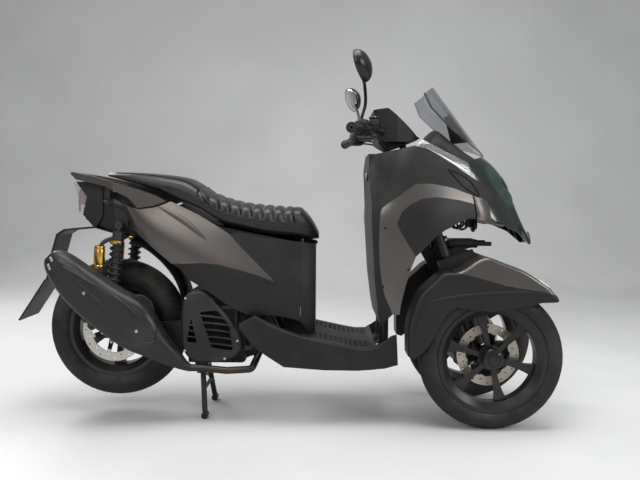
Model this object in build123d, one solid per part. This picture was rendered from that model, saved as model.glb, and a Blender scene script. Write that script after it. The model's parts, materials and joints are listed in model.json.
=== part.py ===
"""Three-wheel leaning motor scooter, built as an assembly of separate pieces.

Row frame: +X forward, +Y to the rider's left, +Z up, millimetres.  The origin is on the
floor, under the middle of the machine's length.  It stands on its centre stand, so the
rear wheel hangs clear of the floor and the two front wheels rest on it.

Outlines are side views, (x, z).  front(...) measures x from the front axles and rear(...)
from the rear axle, so each group of pieces goes with the axle that it belongs to.
"""
import os
from math import cos, radians, sin, sqrt, tan

from build123d import *

# ------------------------------------------------------------------ driving dimensions
WHEELBASE = 1350.0
TRACK = 395.0                 # between the two front wheels' middle planes
FRONT_TYRE_R = 250.0          # 90/80-14
FRONT_TYRE_W = 90.0
FRONT_BEAD_R = 178.0
REAR_TYRE_R = 256.0           # 130/70-13
REAR_TYRE_W = 130.0
REAR_BEAD_R = 165.0
REAR_AXLE_Z = 313.0           # the centre stand lifts the rear tyre off the floor
TAIL_OVERHANG = 350.0         # rear axle to the tip of the rear mudguard
CASTER = 20.0                 # degrees
TRAIL = 68.0                  # the steering axes meet the floor this far ahead of the axles
PIN_PLAY = 0.08               # radial clearance of pins, axles and stems
SEAT_PLAY = 0.3               # between pieces that rest on each other
SEAM = 0.6                    # gap between neighbouring covers
COVER_T = 3.0                 # wall of the moulded covers

FRONT_X = (WHEELBASE + FRONT_TYRE_R + TAIL_OVERHANG) / 2 - FRONT_TYRE_R
REAR_X = FRONT_X - WHEELBASE
HALF_TRACK = TRACK / 2
SIN_C = sin(radians(CASTER))
COS_C = cos(radians(CASTER))
STEER_UP = Vector(-SIN_C, 0, COS_C)      # along the steering axes, upwards
STEER_AHEAD = Vector(COS_C, 0, SIN_C)    # across them, forwards


# ------------------------------------------------------------------ drawing helpers
def front(*points):
    """(x, z) points measured from the front axles, in the row frame."""
    return [(FRONT_X + x, z) for x, z in points]


def rear(*points):
    """(x, z) points measured from the rear axle, in the row frame."""
    return [(REAR_X + x, z) for x, z in points]


def raised(face, way, amount):
    """A face extruded along way, whichever side it faces."""
    sign = 1 if face.faces()[0].normal_at().dot(Vector(*way)) > 0 else -1
    return extrude(face, amount=sign * amount)


def side_plane(y):
    """The side view at y: local x forwards, local y up, extruding to the right."""
    return Plane((0, y, 0), x_dir=(1, 0, 0), z_dir=(0, -1, 0))


def slab(points, y_a, y_b):
    """A side view polygon, extruded from y_a to y_b."""
    face = make_face(Polyline(*points, close=True))
    return raised(side_plane(max(y_a, y_b)) * face, (0, -1, 0), abs(y_b - y_a))


def plan_slab(half, z_a, z_b):
    """A symmetric (x, y) plan, given by its left half, extruded from z_a to z_b."""
    face = make_face(Polyline(*half, *[(x, -y) for x, y in reversed(half)], close=True))
    return raised(Plane.XY.offset(z_a) * face, (0, 0, 1), z_b - z_a)


def wheel_plane(x, y, z):
    """A wheel's middle plane, centred on its axis: local x forwards, local y up."""
    return Plane((x, y, z), x_dir=(1, 0, 0), z_dir=(0, -1, 0))


def box(x_a, x_b, y_a, y_b, z_a, z_b):
    """A box between two corners."""
    solid = Box(x_b - x_a, y_b - y_a, z_b - z_a)
    return Pos((x_a + x_b) / 2, (y_a + y_b) / 2, (z_a + z_b) / 2) * solid


def inset(points, wall):
    """A closed polygon moved inwards by wall on all its sides."""
    pairs = zip(points, points[1:] + points[:1])
    area = sum(xa * yb - xb * ya for (xa, ya), (xb, yb) in pairs)
    turn = 1 if area > 0 else -1
    moved = []
    for i, (x, y) in enumerate(points):
        (xa, ya), (xb, yb) = points[i - 1], points[(i + 1) % len(points)]
        before = Vector(x - xa, y - ya).normalized()
        after = Vector(xb - x, yb - y).normalized()
        inwards = Vector(-before.Y - after.Y, before.X + after.X) * turn
        step = inwards * (wall / (1 + before.dot(after)))
        moved.append((x + step.X, y + step.Y))
    return moved


def flat_edges(solid, y):
    """The edges round a solid's flat side faces at y."""
    faces = [face for face in solid.faces() if abs(face.center().Y - y) < 0.01]
    return [edge for face in faces for edge in face.edges()]


def rounded(solid, y, radius):
    """A solid with the edges of its flat side at y rounded."""
    return fillet(flat_edges(solid, y), radius)


def moulded(points, y_a, y_b, rounding):
    """A side view outline drawn as one smooth closed curve, its side at y_b rounded."""
    face = make_face(Spline(*points, periodic=True))
    solid = raised(side_plane(max(y_a, y_b)) * face, (0, -1, 0), abs(y_b - y_a))
    return rounded(solid, y_b, rounding)


def closed_face(*curves):
    """A face inside curves that follow each other, closed by a straight line."""
    edge = curves[0]
    for curve in curves[1:]:
        edge += curve
    return make_face(edge + Line(curves[-1] @ 1, curves[0] @ 0))


def tapered(stations):
    """A solid through rounded rectangles: (plane, half width, half height, corner)."""
    return loft([plane * RectangleRounded(2 * wide, 2 * high, corner)
                 for plane, wide, high, corner in stations])


def panel(skin, points):
    """The part of a skin inside a side view outline, less half a seam all round."""
    return skin & slab(inset(points, SEAM / 2), -600, 600)


def whole_section(half):
    """A (y, z) section from its left half, which runs from the bottom up."""
    return list(half) + [(-y, z) for y, z in reversed(half) if y > 0]


def lofted(stations, wall=0.0):
    """A solid through (x, left half section) stations, or the hollow that leaves its wall.
    Each section is flat underneath and one smooth curve over its sides and top."""
    faces = []
    for i, (x, half) in enumerate(stations):
        points = whole_section(half)
        if wall:
            points = inset(points, wall)
        if wall and i in (0, len(stations) - 1):
            x += wall if x < stations[len(stations) // 2][0] else -wall
        plane = Plane((x, 0, 0), x_dir=(0, 1, 0), z_dir=(1, 0, 0))
        faces.append(plane * closed_face(Spline(*points[1:])))
    return loft(faces)


def rod(start, end, radius):
    """A round bar between two points."""
    start, end = Vector(*start), Vector(*end)
    plane = Plane(origin=start, z_dir=end - start)
    return extrude(plane * Circle(radius), amount=(end - start).length)


def bent_rod(points, bend, radius):
    """A round bar along straight runs joined by arcs."""
    path = FilletPolyline(*points, radius=bend)
    plane = Plane(origin=path @ 0, z_dir=path % 0)
    return sweep(plane * Circle(radius), path=path)


def steer_plane(ahead, along, y=0.0):
    """A plane across the steering axes: local x forwards, local y to the left.  Its origin
    lies ahead of the axis and along it from the floor."""
    origin = Vector(FRONT_X + TRAIL, y, 0) + STEER_AHEAD * ahead + STEER_UP * along
    return Plane(origin=origin, x_dir=STEER_AHEAD, z_dir=STEER_UP)


def steer_bar(ahead, y, low, high, radius):
    """A round bar parallel to the steering axes."""
    return extrude(steer_plane(ahead, low, y) * Circle(radius), amount=high - low)


def steer_block(points, low, high):
    """A block across the steering axes, from its (ahead, y) outline."""
    face = make_face(Polyline(*points, close=True))
    return raised(steer_plane(0, low) * face, tuple(STEER_UP), high - low)


def cross_bar(x, z, y_a, y_b, radius):
    """A round bar across the machine."""
    return extrude(side_plane(max(y_a, y_b)) * Pos(x, z) * Circle(radius), amount=abs(y_b - y_a))


def x_bar(y, z, x_a, x_b, radius):
    """A round bar along the machine."""
    return rod((x_a, y, z), (x_b, y, z), radius)


def mirrored(solid):
    """The same piece on the other side of the machine."""
    return mirror(solid, about=Plane.XZ)


def both_sides(solid):
    """A left piece and its mirror image, as one node of two solids."""
    return Compound(children=[*solid.solids(), *mirrored(solid).solids()])


def turned(profile, x, y, z):
    """A (radius, offset) polygon turned about a wheel's axis; offsets run to the left."""
    face = make_face(Polyline(*[(r, 0, w) for r, w in profile], close=True))
    ring = revolve(face, axis=Axis.Z)
    return Plane((x, y, z), x_dir=(1, 0, 0), z_dir=(0, 1, 0)) * ring


def save(node, shape):
    """Write one node's STEP file."""
    pieces = [solid for part in shape for solid in part.solids()] \
        if isinstance(shape, list) else shape.solids()
    shape = pieces[0] if len(pieces) == 1 else Compound(children=pieces)
    shape.label = node
    export_step(shape, f"parts/{node}.step")


# ------------------------------------------------------------------ wheels
AXLE_R = 9.0
HUB_R = 27.0
FRONT_HUB_HALF = 45.0
REAR_HUB_HALF = 58.0
HUB_BOSS_R = 44.0
SPOKES = 6
SPOKE_T = 10.0                # half the spokes' thickness
DISC_T = 4.0
DISC_BAND = 32.0
DISC_HOLES = 24
DISC_HOLE_R = 3.0
FRONT_DISC_R = 110.0
FRONT_DISC_IN = 39.0          # the disc's middle, inboard of the wheel's middle
REAR_DISC_R = 115.0
REAR_DISC_IN = 76.0


def tyre(x, y, z, outer, bead, width):
    """A tyre's outer form with a round crown, down to the rim's seat."""
    seat = width * 0.31
    half = [(bead, seat), (bead + 9, seat + 7), (bead + (outer - bead) * 0.38, width * 0.5),
            (outer - width * 0.3, width * 0.47), (outer - width * 0.11, width * 0.33),
            (outer - width * 0.025, width * 0.16), (outer, 0)]
    return turned([(r, -w) for r, w in half] + half[-2::-1], x, y, z)


def rim(x, y, z, bead, width, hub_half, axle_r, phase):
    """A cast wheel: a dropped-centre rim on six tapered spokes and a round hub."""
    seat = width * 0.31
    lip = 10.0
    deep = bead - 24.0
    half = [(bead - SEAM, seat + SEAT_PLAY), (bead + lip - 1, seat + 8), (bead + lip, seat + 12),
            (bead - 3, seat + 12), (deep, seat - 6)]
    ring = turned([(bead - 9, seat - 9)] + half + [(r, -w) for r, w in half[::-1]]
                  + [(bead - 9, 9 - seat)], x, y, z)
    wheel = ring + cross_bar(x, z, y - hub_half, y + hub_half, HUB_R)
    wheel += cross_bar(x, z, y - SPOKE_T, y + SPOKE_T, HUB_BOSS_R)
    wheel += cross_bar(x, z, y - hub_half + 12, y + hub_half - 12, HUB_R + 6)
    for k in range(SPOKES):
        side = [(HUB_R - 6, 9), (HUB_R + 30, 9), (deep - 45, 12), (deep + 4, 24)]
        blade = closed_face(Spline(*side), Line(side[-1], (deep + 4, -24)),
                            Spline(*[(r, -w) for r, w in reversed(side)]))
        blade = wheel_plane(x, y, z) * (Rot(0, 0, phase + 360 / SPOKES * k) * blade)
        wheel += extrude(blade, amount=SPOKE_T, both=True)
    return wheel - cross_bar(x, z, y - hub_half - 1, y + hub_half + 1, axle_r + PIN_PLAY)


def disc(x, y, z, outer, hub_reach):
    """A brake disc on its carrier, which meets the hub hub_reach to the left."""
    ring = turned([(outer - DISC_BAND, -DISC_T / 2), (outer, -DISC_T / 2),
                   (outer, DISC_T / 2), (outer - DISC_BAND, DISC_T / 2)], x, y, z)
    for k in range(SPOKES):
        arm = Polyline((HUB_R + 4, -9), (HUB_R + 4, 9), (outer - DISC_BAND + 3, 7),
                       (outer - DISC_BAND + 3, -7), close=True)
        arm = wheel_plane(x, y, z) * (Rot(0, 0, 360 / SPOKES * k + 15) * make_face(arm))
        ring += extrude(arm, amount=DISC_T / 2, both=True)
    sleeve_in = HUB_R + SEAT_PLAY
    ring += turned([(sleeve_in, -DISC_T / 2), (sleeve_in + 9, -DISC_T / 2),
                    (sleeve_in + 9, DISC_T / 2 + hub_reach), (sleeve_in, DISC_T / 2 + hub_reach)],
                   x, y, z)
    for k in range(DISC_HOLES):
        out = outer - DISC_BAND * (0.3 + 0.35 * (k % 2))
        turn = radians(360 / DISC_HOLES * k)
        ring -= cross_bar(x + out * cos(turn), z + out * sin(turn), y - DISC_T, y + DISC_T,
                          DISC_HOLE_R)
    return ring


def front_wheel(side):
    """Rim, tyre and disc of one front wheel; side is 1 on the left and -1 on the right."""
    place = (FRONT_X, side * HALF_TRACK, FRONT_TYRE_R)
    name = "left" if side > 0 else "right"
    save(f"front_tyre_{name}", tyre(*place, FRONT_TYRE_R, FRONT_BEAD_R, FRONT_TYRE_W))
    save(f"front_rim_{name}", rim(*place, FRONT_BEAD_R, FRONT_TYRE_W, FRONT_HUB_HALF, AXLE_R, 43.5))
    left = disc(FRONT_X, HALF_TRACK - FRONT_DISC_IN, FRONT_TYRE_R, FRONT_DISC_R, 4)
    save(f"front_disc_{name}", left if side > 0 else mirrored(left))


def rear_wheel():
    place = (REAR_X, 0, REAR_AXLE_Z)
    save("rear_tyre", tyre(*place, REAR_TYRE_R, REAR_BEAD_R, REAR_TYRE_W))
    save("rear_rim", rim(*place, REAR_BEAD_R, REAR_TYRE_W, REAR_DISC_IN + 4, REAR_AXLE_R, 30))
    save("rear_disc", disc(REAR_X, -REAR_DISC_IN, REAR_AXLE_Z, REAR_DISC_R, 4))


# ------------------------------------------------------------------ steering and forks
STEER_Y = 100.0               # the outer steering axes, left and right of the middle
LEG_Y = 124.0                 # the fork legs' planes
LEG_SPREAD = 28.0             # from the fork's middle to each leg
LEG_R = 20.0
STANCHION_R = 15.0
STEM_R = 12.0
CROWN_LOW, CROWN_HIGH = 585.0, 628.0     # heights along the steering axis
POST_LOW, POST_HIGH = 634.0, 720.0
ARM_T = 8.0
ARM_LOW = POST_HIGH + 2.0
STEER_ARM = 45.0              # length of the steering arms
TIE_LOW = ARM_LOW + ARM_T + 1.0
TIE_T = 12.0
TIE_PIN_R = 6.0
TIE_EYE_R = 12.0
HEAD_LOW, HEAD_HIGH = 750.0, 895.0
HEAD_STEM_R = 13.0
AXLE_AHEAD = FRONT_TYRE_R * SIN_C - TRAIL * COS_C
AXLE_ALONG = FRONT_TYRE_R * COS_C + TRAIL * SIN_C


def steering_arm(y):
    """The arm on top of a stem, with the pin that carries the tie rod."""
    arm = steer_block([(-14, y - 14), (STEER_ARM, y - 10), (STEER_ARM + 11, y),
                       (STEER_ARM, y + 10), (-14, y + 14)], ARM_LOW, ARM_LOW + ARM_T)
    return arm + steer_bar(STEER_ARM, y, ARM_LOW, TIE_LOW + TIE_T + 2, TIE_PIN_R)


def fork():
    """The left fork: two legs side by side, one ahead of the other, inboard of the wheel."""
    y = HALF_TRACK
    solid = steer_bar(0, STEER_Y, CROWN_LOW, ARM_LOW + ARM_T, STEM_R) + steering_arm(STEER_Y)
    solid += steer_block([(-34, STEER_Y + 10), (-18, STEER_Y - 14), (16, STEER_Y - 14),
                          (60, STEER_Y + 18), (96, STEER_Y + 26), (96, LEG_Y + LEG_R + 1),
                          (-34, LEG_Y + LEG_R + 1)], CROWN_LOW, CROWN_HIGH)
    for spread in (-LEG_SPREAD, LEG_SPREAD):
        ahead = AXLE_AHEAD + spread
        solid += steer_bar(ahead, LEG_Y, 400, CROWN_LOW + 5, STANCHION_R)
        solid += steer_bar(ahead, LEG_Y, AXLE_ALONG - 30, 450, LEG_R)
    inner, outer = LEG_Y - LEG_R, LEG_Y + LEG_R
    solid += steer_block([(AXLE_AHEAD - 22, LEG_Y), (AXLE_AHEAD + 22, LEG_Y),
                          (AXLE_AHEAD + 22, y - FENDER_IN - SEAT_PLAY),
                          (AXLE_AHEAD - 22, y - FENDER_IN - SEAT_PLAY)], 520, 548)
    solid += steer_block([(AXLE_AHEAD - 50, inner + 4), (AXLE_AHEAD + 50, inner + 4),
                          (AXLE_AHEAD + 50, outer), (AXLE_AHEAD - 50, outer)],
                         AXLE_ALONG - 26, AXLE_ALONG + 26)
    solid += cross_bar(FRONT_X, FRONT_TYRE_R, inner, y + FRONT_HUB_HALF + 8, AXLE_R)
    solid += cross_bar(FRONT_X, FRONT_TYRE_R, outer - 2, y - FRONT_HUB_HALF - 1, 17)
    return solid + cross_bar(FRONT_X, FRONT_TYRE_R, y + FRONT_HUB_HALF + 1,
                             y + FRONT_HUB_HALF + 8, 15) + caliper()


def caliper():
    """The left brake caliper, behind the axle, with its slot over the disc."""
    y = HALF_TRACK - FRONT_DISC_IN
    body = slab(front((-125, 262), (-93, 305), (-65, 285), (-80, 235), (-113, 225)),
                LEG_Y + 4, y + 14)
    slot = cross_bar(FRONT_X, FRONT_TYRE_R, y - DISC_T / 2 - 3, y + 30, FRONT_DISC_R + 4)
    return body - slot + slab(front((-125, 262), (-93, 305), (-25, 290), (-35, 250), (-105, 240)),
                              LEG_Y + 2, LEG_Y + 12)


FENDER_OUT = 58.0             # outer and inner faces from the wheel's middle
FENDER_IN = 52.0
FENDER_T = 4.0
FENDER_GAP = 10.0             # over the tyre
FENDER_ROUND = 14.0
FENDER_TOP = front((219, 453), (217, 465), (204, 480), (187, 499), (157, 521), (93, 560),
               (20, 588), (-29, 602), (-84, 577), (-135, 551), (-167, 550), (-214, 516),
               (-253, 477), (-276, 428), (-292, 365), (-294, 316), (-293, 262))
FENDER_LOW = front((-273, 254), (-240, 279), (-220, 303), (-202, 337), (-188, 366), (-165, 405),
               (-132, 431), (-84, 425), (-8, 418), (58, 428), (106, 436), (158, 450),
               (191, 451))
CAP_LINE = front((-144, 553), (-58, 533), (9, 514), (86, 498), (152, 489), (217, 472))


def fender_block(face, y_out, width, rounding):
    """A fender's solid form, with the edge between its top and its outer side rounded."""
    solid = raised(side_plane(y_out) * face, (0, -1, 0), width)
    longest = max(flat_edges(solid, y_out), key=lambda edge: edge.length)
    return fillet(longest, rounding)


def fender_shell():
    """The left wheel's cover, open below, before it is split into guard and cap."""
    y = HALF_TRACK
    top = Spline(*FENDER_TOP)
    low = Polyline(FENDER_TOP[-1], *FENDER_LOW, FENDER_TOP[0])
    whole = fender_block(make_face(top + low), y + FENDER_OUT, FENDER_IN + FENDER_OUT,
                         FENDER_ROUND)
    inside = inset(FENDER_TOP + [(FRONT_X, FRONT_TYRE_R)], FENDER_T)
    hollow = fender_block(closed_face(Spline(*inside[:-1]), Line(inside[-2], inside[-1])),
                          y + FENDER_OUT - FENDER_T, FENDER_IN + FENDER_OUT - 2 * FENDER_T,
                          FENDER_ROUND - FENDER_T)
    hollow += cross_bar(FRONT_X, FRONT_TYRE_R, y - FENDER_IN - 1, y + FENDER_OUT - FENDER_T,
                        FRONT_TYRE_R + FENDER_GAP)
    return whole - hollow


def front_fender():
    cap = slab(CAP_LINE + front((235, 620), (-165, 620)), 0, 300)
    return fender_shell() - cap


def fender_cap():
    cap = slab(inset(CAP_LINE + front((235, 620), (-165, 620)), SEAM), 0, 300)
    return fender_shell() & cap


def tie_rod():
    """The rod that joins the three steering arms, with an eye at each pin."""
    half = STEER_Y
    bar = rod(steer_plane(STEER_ARM, TIE_LOW + TIE_T / 2, -half).origin,
              steer_plane(STEER_ARM, TIE_LOW + TIE_T / 2, half).origin, 5)
    eyes = (-half, 0, half)
    for y in eyes:
        bar += steer_bar(STEER_ARM, y, TIE_LOW, TIE_LOW + TIE_T, TIE_EYE_R)
    for y in eyes:
        bar -= steer_bar(STEER_ARM, y, TIE_LOW - 1, TIE_LOW + TIE_T + 1, TIE_PIN_R + PIN_PLAY)
    return bar


# ------------------------------------------------------------------ tilting front frame
LINK_Y = 50.0                 # the outer link pins
LINK_ZS = (510.0, 637.0)      # lower and upper link pins
LINK_R = 8.0
BOSS_R = 15.0
BOSS_FROM, BOSS_TO = FRONT_X - 111, FRONT_X - 37
PLATE_T = 14.0
PLATE_GAP = 1.0
PIN_REACH = 50.0              # the upper pins' bolts stand out in front


def link_plates(x_from):
    """One lower and one upper plate across three link pins."""
    plates = []
    for z in LINK_ZS:
        plane = Plane((x_from, 0, 0), x_dir=(0, 1, 0), z_dir=(1, 0, 0))
        shape = SlotOverall(2 * LINK_Y + 2 * BOSS_R, 2 * BOSS_R)
        plate = extrude(plane * Pos(0, z) * shape, amount=PLATE_T)
        for y in (-LINK_Y, 0, LINK_Y):
            plate -= x_bar(y, z, x_from - 1, x_from + PLATE_T + 1, LINK_R + PIN_PLAY)
        plates.append(plate)
    return plates


def tilt_arms():
    """The four plates of the parallelogram, behind and ahead of the bosses."""
    behind = link_plates(BOSS_FROM - PLATE_GAP - PLATE_T)
    return [*behind, *link_plates(BOSS_TO + PLATE_GAP)]


def link_bosses(y, reach):
    """Two bosses with their pins, which stand out of both ends."""
    solid = None
    for z, out in zip(LINK_ZS, (0, reach)):
        boss = x_bar(y, z, BOSS_FROM, BOSS_TO, BOSS_R)
        boss += x_bar(y, z, BOSS_FROM - PLATE_T - 3, BOSS_TO + PLATE_T + 3 + out, LINK_R)
        solid = boss if solid is None else solid + boss
    return solid


def side_post():
    """The left post: link bosses on a web, and the tube that the fork's stem turns in."""
    solid = link_bosses(LINK_Y, PIN_REACH)
    solid += slab(front((-177, 665), (-177, 606), (-140, 560), (-108, 560), (-108, 496), (-40, 496),
                    (-40, 526), (-85, 560), (-75, 615), (-40, 624), (-40, 650), (-108, 650),
                    (-108, 618), (-133, 618), (-133, 665)), 42, 58)
    solid += steer_block([(-14, LINK_Y), (14, LINK_Y), (14, STEER_Y), (-14, STEER_Y)],
                         POST_LOW + 6, POST_HIGH - 5)
    solid += steer_bar(0, STEER_Y, POST_LOW, POST_HIGH, 20)
    return solid - steer_bar(0, STEER_Y, POST_LOW - 1, POST_HIGH + 1, STEM_R + PIN_PLAY)


TUBE_R = 16.0
RAIL_R = 14.0
FLOOR_TUBE_Z = 254.0
FLOOR_TUBE_Y = 95.0
RAIL_Y = 132.0


def frame_front():
    """Head pipe, spine with the middle link bosses, and two down tubes."""
    solid = slab(front((-285, 850), (-255, 838), (-206, 700), (-206, 640), (-180, 616), (-108, 616),
                   (-108, 650), (-40, 650), (-40, 624), (-85, 600), (-85, 545), (-40, 526),
                   (-40, 496), (-108, 496), (-108, 530), (-180, 530), (-220, 600), (-275, 700)), -10, 10)
    solid += link_bosses(0, 0)
    solid += steer_bar(0, 0, HEAD_LOW, HEAD_HIGH, 22)
    solid -= steer_bar(0, 0, HEAD_LOW - 1, HEAD_HIGH + 1, HEAD_STEM_R + PIN_PLAY)
    for side in (1, -1):
        points = [(FRONT_X - 235, side * 16, 705), (FRONT_X - 330, side * 70, 540),
                  (FRONT_X - 363, side * 90, 400), (FRONT_X - 363, side * FLOOR_TUBE_Y, FLOOR_TUBE_Z),
                  (FRONT_X - 425, side * FLOOR_TUBE_Y, FLOOR_TUBE_Z)]
        solid += bent_rod(points, 30, TUBE_R)
        solid += slab(front((-402.6, 514), (-403.6, 530), (-335, 530), (-335, 514)), side * 62, side * 78)
    return solid


def frame_rear():
    """Floor tubes that rise into the seat rails, their cross tubes and the damper lugs."""
    solid = None
    for side in (1, -1):
        points = [(FRONT_X - 425.6, side * FLOOR_TUBE_Y, FLOOR_TUBE_Z),
                  (REAR_X + 625, side * FLOOR_TUBE_Y, FLOOR_TUBE_Z), (REAR_X + 555, side * RAIL_Y, 400),
                  (REAR_X + 435, side * RAIL_Y, 600), (REAR_X - 15, side * 80, 790)]
        tube = bent_rod(points, 40, RAIL_R)
        solid = tube if solid is None else solid + tube
        lug = slab(rear((15, 688), (55, 688), (65, 775), (5, 790)), side * 78, side * 90)
        solid += slab(rear((-15, 797), (3, 797), (3, 846), (-15, 850)), side * 90, side * 124.3)
        solid += slab(rear((-15, 788), (3, 783), (3, 800), (-15, 800)), side * 84, side * 101)
        solid += lug + cross_bar(*SHOCK_TOP, side * 84, side * (SHOCK_Y + 14), 6)
    solid += cross_bar(REAR_X + 605, FLOOR_TUBE_Z, -FLOOR_TUBE_Y, FLOOR_TUBE_Y, RAIL_R)
    solid += cross_bar(REAR_X + 5, 781, -90, 90, 10)
    solid += cross_bar(REAR_X + 370.4, 630, -RAIL_Y, RAIL_Y, 10)
    return solid + box(REAR_X - 38.7, REAR_X + 7, -20, 20, 775, 787)


# ------------------------------------------------------------------ power unit and rear end
REAR_AXLE_R = 10.0
ENGINE_LEFT = 94.0
ENGINE_RIGHT = -118.0
SHOCK_TOP = rear((35, 700))[0]
SHOCK_LOW = rear((0, 385))[0]
SHOCK_Y = 121.0
SHOCK_R = 25.0
SPRING_R = 21.0               # to the middle of the spring's wire
SPRING_WIRE = 4.0
SPRING_TURNS = 9
SPRING_LOW, SPRING_TOP = 58.0, 70.0      # from the lower and upper eyes to the spring
STAND_PIVOT = rear((322, 170))[0]
STAND_R = 12.0
STAND_PIN_R = 8.0
STAND_HALF = 80.0             # half the length of the centre stand's pivot tube


def engine_block():
    """The plain mass of the power unit, with its front mount and the stand's lugs."""
    solid = slab(rear((280, 205), (475, 205), (495, 215), (565, 235), (565, 335), (475, 380),
                   (465, 470), (295, 470), (280, 430)), ENGINE_RIGHT, ENGINE_LEFT)
    solid -= box(REAR_X + 485, REAR_X + 625, 62, 200, 0, 600) + box(REAR_X + 485, REAR_X + 625, -200, -62, 0, 600)
    for side in (1, -1):
        nose = REAR_X + 605 - RAIL_R - SEAT_PLAY
        solid += slab([*rear((555, 240)), (nose, FLOOR_TUBE_Z - 10), (nose, FLOOR_TUBE_Z + 10),
                       *rear((555, 285))], side * 30, side * 44)
        solid += slab(rear((295, 210), (349, 210), (337, 158), (307, 158)),
                      side * (STAND_HALF + 2), side * (STAND_HALF + 10))
    x, z = STAND_PIVOT
    solid += cross_bar(x, z, -STAND_HALF - 12, STAND_HALF + 12, STAND_PIN_R)
    return solid


CASE_W = 66.0                 # width of the transmission case
PULLEY_T = 6.0                # its two round pulley covers stand out by this much


def cvt_case():
    """The transmission case on the left, with the rear axle."""
    solid = slab(rear((475, 262), (475, 380), (415, 425), (295, 430), (105, 385), (35, 360), (-25, 360),
                   (-70, 340), (-70, 285), (-15, 258), (415, 254)),
                 ENGINE_LEFT + SEAT_PLAY, ENGINE_LEFT + SEAT_PLAY + CASE_W - PULLEY_T)
    solid = rounded(solid, ENGINE_LEFT + SEAT_PLAY + CASE_W - PULLEY_T, 8)
    for (x, z), radius in ((rear((385, 340))[0], 66), ((REAR_X, REAR_AXLE_Z), 40)):
        solid += cross_bar(x, z, ENGINE_LEFT + 30, ENGINE_LEFT + SEAT_PLAY + CASE_W, radius)
    solid += cross_bar(REAR_X, REAR_AXLE_Z, REAR_DISC_IN + 5, ENGINE_LEFT + 2, 30)
    solid += cross_bar(REAR_X, REAR_AXLE_Z, -ARM_OUT - 12, ENGINE_LEFT + 2, REAR_AXLE_R)
    return solid + shock_lug(1)


ARM_IN, ARM_OUT = 92.0, 108.0  # the swing arm's faces


def shock_lug(side):
    """The lug and pin that carry a damper's lower eye."""
    x, z = SHOCK_LOW
    y_in, y_out = (ENGINE_LEFT + 2, SHOCK_Y - 13) if side > 0 else (-SHOCK_Y + 13, -ARM_IN)
    lug = slab(rear((-25, 330), (25, 330), (15, 397), (-15, 397)), y_in, y_out)
    return lug + cross_bar(x, z, side * (SHOCK_Y - 15), side * (SHOCK_Y + 14), 6)


def swing_arm():
    """The right arm between engine and axle, with the muffler's stay and the caliper."""
    solid = slab(rear((279.7, 250), (279.7, 360), (225, 352), (25, 340), (-30, 340),
                   (-35, 290), (25, 286), (225, 268)), -ARM_OUT, -ARM_IN)
    stay = MUFFLER_Y + max(MUFFLER_WIDE) + SEAT_PLAY
    solid += slab(rear((95, 300), (95, 335), (127, 338), (127, 295)), stay, -ARM_IN)
    solid += shock_lug(-1)
    solid -= cross_bar(REAR_X, REAR_AXLE_Z, -200, 0, REAR_AXLE_R + PIN_PLAY)
    outline = rear((-75, 345), (-115, 395), (-87, 425), (-47, 400), (-43, 352))
    grip = slab(outline, -REAR_DISC_IN + 16, -ARM_OUT)
    grip -= cross_bar(REAR_X, REAR_AXLE_Z, -REAR_DISC_IN - 5, 0, REAR_DISC_R + 4)
    return solid + grip + slab(rear((-15, 338), (-87, 425), (-65, 345), (-30, 300)),
                               -ARM_OUT, -ARM_IN)


def shock_line():
    """The left damper's lower and upper eyes and the way between them."""
    top = Vector(SHOCK_TOP[0], SHOCK_Y, SHOCK_TOP[1])
    low = Vector(SHOCK_LOW[0], SHOCK_Y, SHOCK_LOW[1])
    return low, top, (top - low).normalized()


def rear_springs():
    """The two coil springs, with their ends ground flat against the dampers' collars."""
    low, top, along = shock_line()
    start = low + along * (SPRING_LOW + SEAT_PLAY)
    reach = (top - low).length - SPRING_LOW - SPRING_TOP - 2 * SEAT_PLAY
    coil = Helix(pitch=reach / SPRING_TURNS, height=reach + 2 * SPRING_WIRE, radius=SPRING_R)
    wire = sweep(Plane(origin=coil @ 0, z_dir=coil % 0) * Circle(SPRING_WIRE), path=coil)
    standing = Plane(origin=start, z_dir=along)
    wire = standing * Pos(0, 0, -SPRING_WIRE) * wire
    between = extrude(standing * Circle(2 * SPRING_R), amount=reach)
    return both_sides(wire & between)


def rear_shocks():
    """Two dampers: an eye at each end, a body and the collars that hold the spring."""
    low, top, along = shock_line()
    body = rod(low + along * 8, top - along * 8, 9)
    body += rod(low + along * SPRING_LOW, top - along * 60, SPRING_R - SPRING_WIRE - 1)
    body += rod(low + along * (SPRING_LOW - 8), low + along * SPRING_LOW, SHOCK_R)
    body += rod(top - along * SPRING_TOP, top - along * (SPRING_TOP - 8), SHOCK_R)
    body += rod(top - along * (SPRING_TOP - 8), top - along * 22, 20)
    for point in (top, low):
        body += cross_bar(point.X, point.Z, SHOCK_Y - 12, SHOCK_Y + 12, 13)
    for point in (top, low):
        body -= cross_bar(point.X, point.Z, SHOCK_Y - 15, SHOCK_Y + 15, 6 + PIN_PLAY)
    return both_sides(body)


PIPE_R = 12.5
PIPE_Y = -176.0
MUFFLER = rear((300, 199), (273, 212), (234, 243), (179, 287), (133, 329), (87, 371),
            (19, 415), (-43, 462), (-110, 523), (-161, 578), (-179, 596))
MUFFLER_HIGH = (13, 20, 32, 52, 73, 84, 79, 74, 62, 42, 24)     # half heights
MUFFLER_WIDE = (13, 20, 34, 46, 51, 51, 51, 51, 50, 44, 30)     # half widths
MUFFLER_CORNER = 0.62
MUFFLER_Y = -201.0
SHIELD = rear((185, 305), (167, 400), (115, 428), (45, 467), (-55, 540), (-120, 590),
           (-150, 580), (-153, 540), (-115, 462), (-25, 380), (60, 315), (140, 280))
SHIELD_T = 5.0


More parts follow.
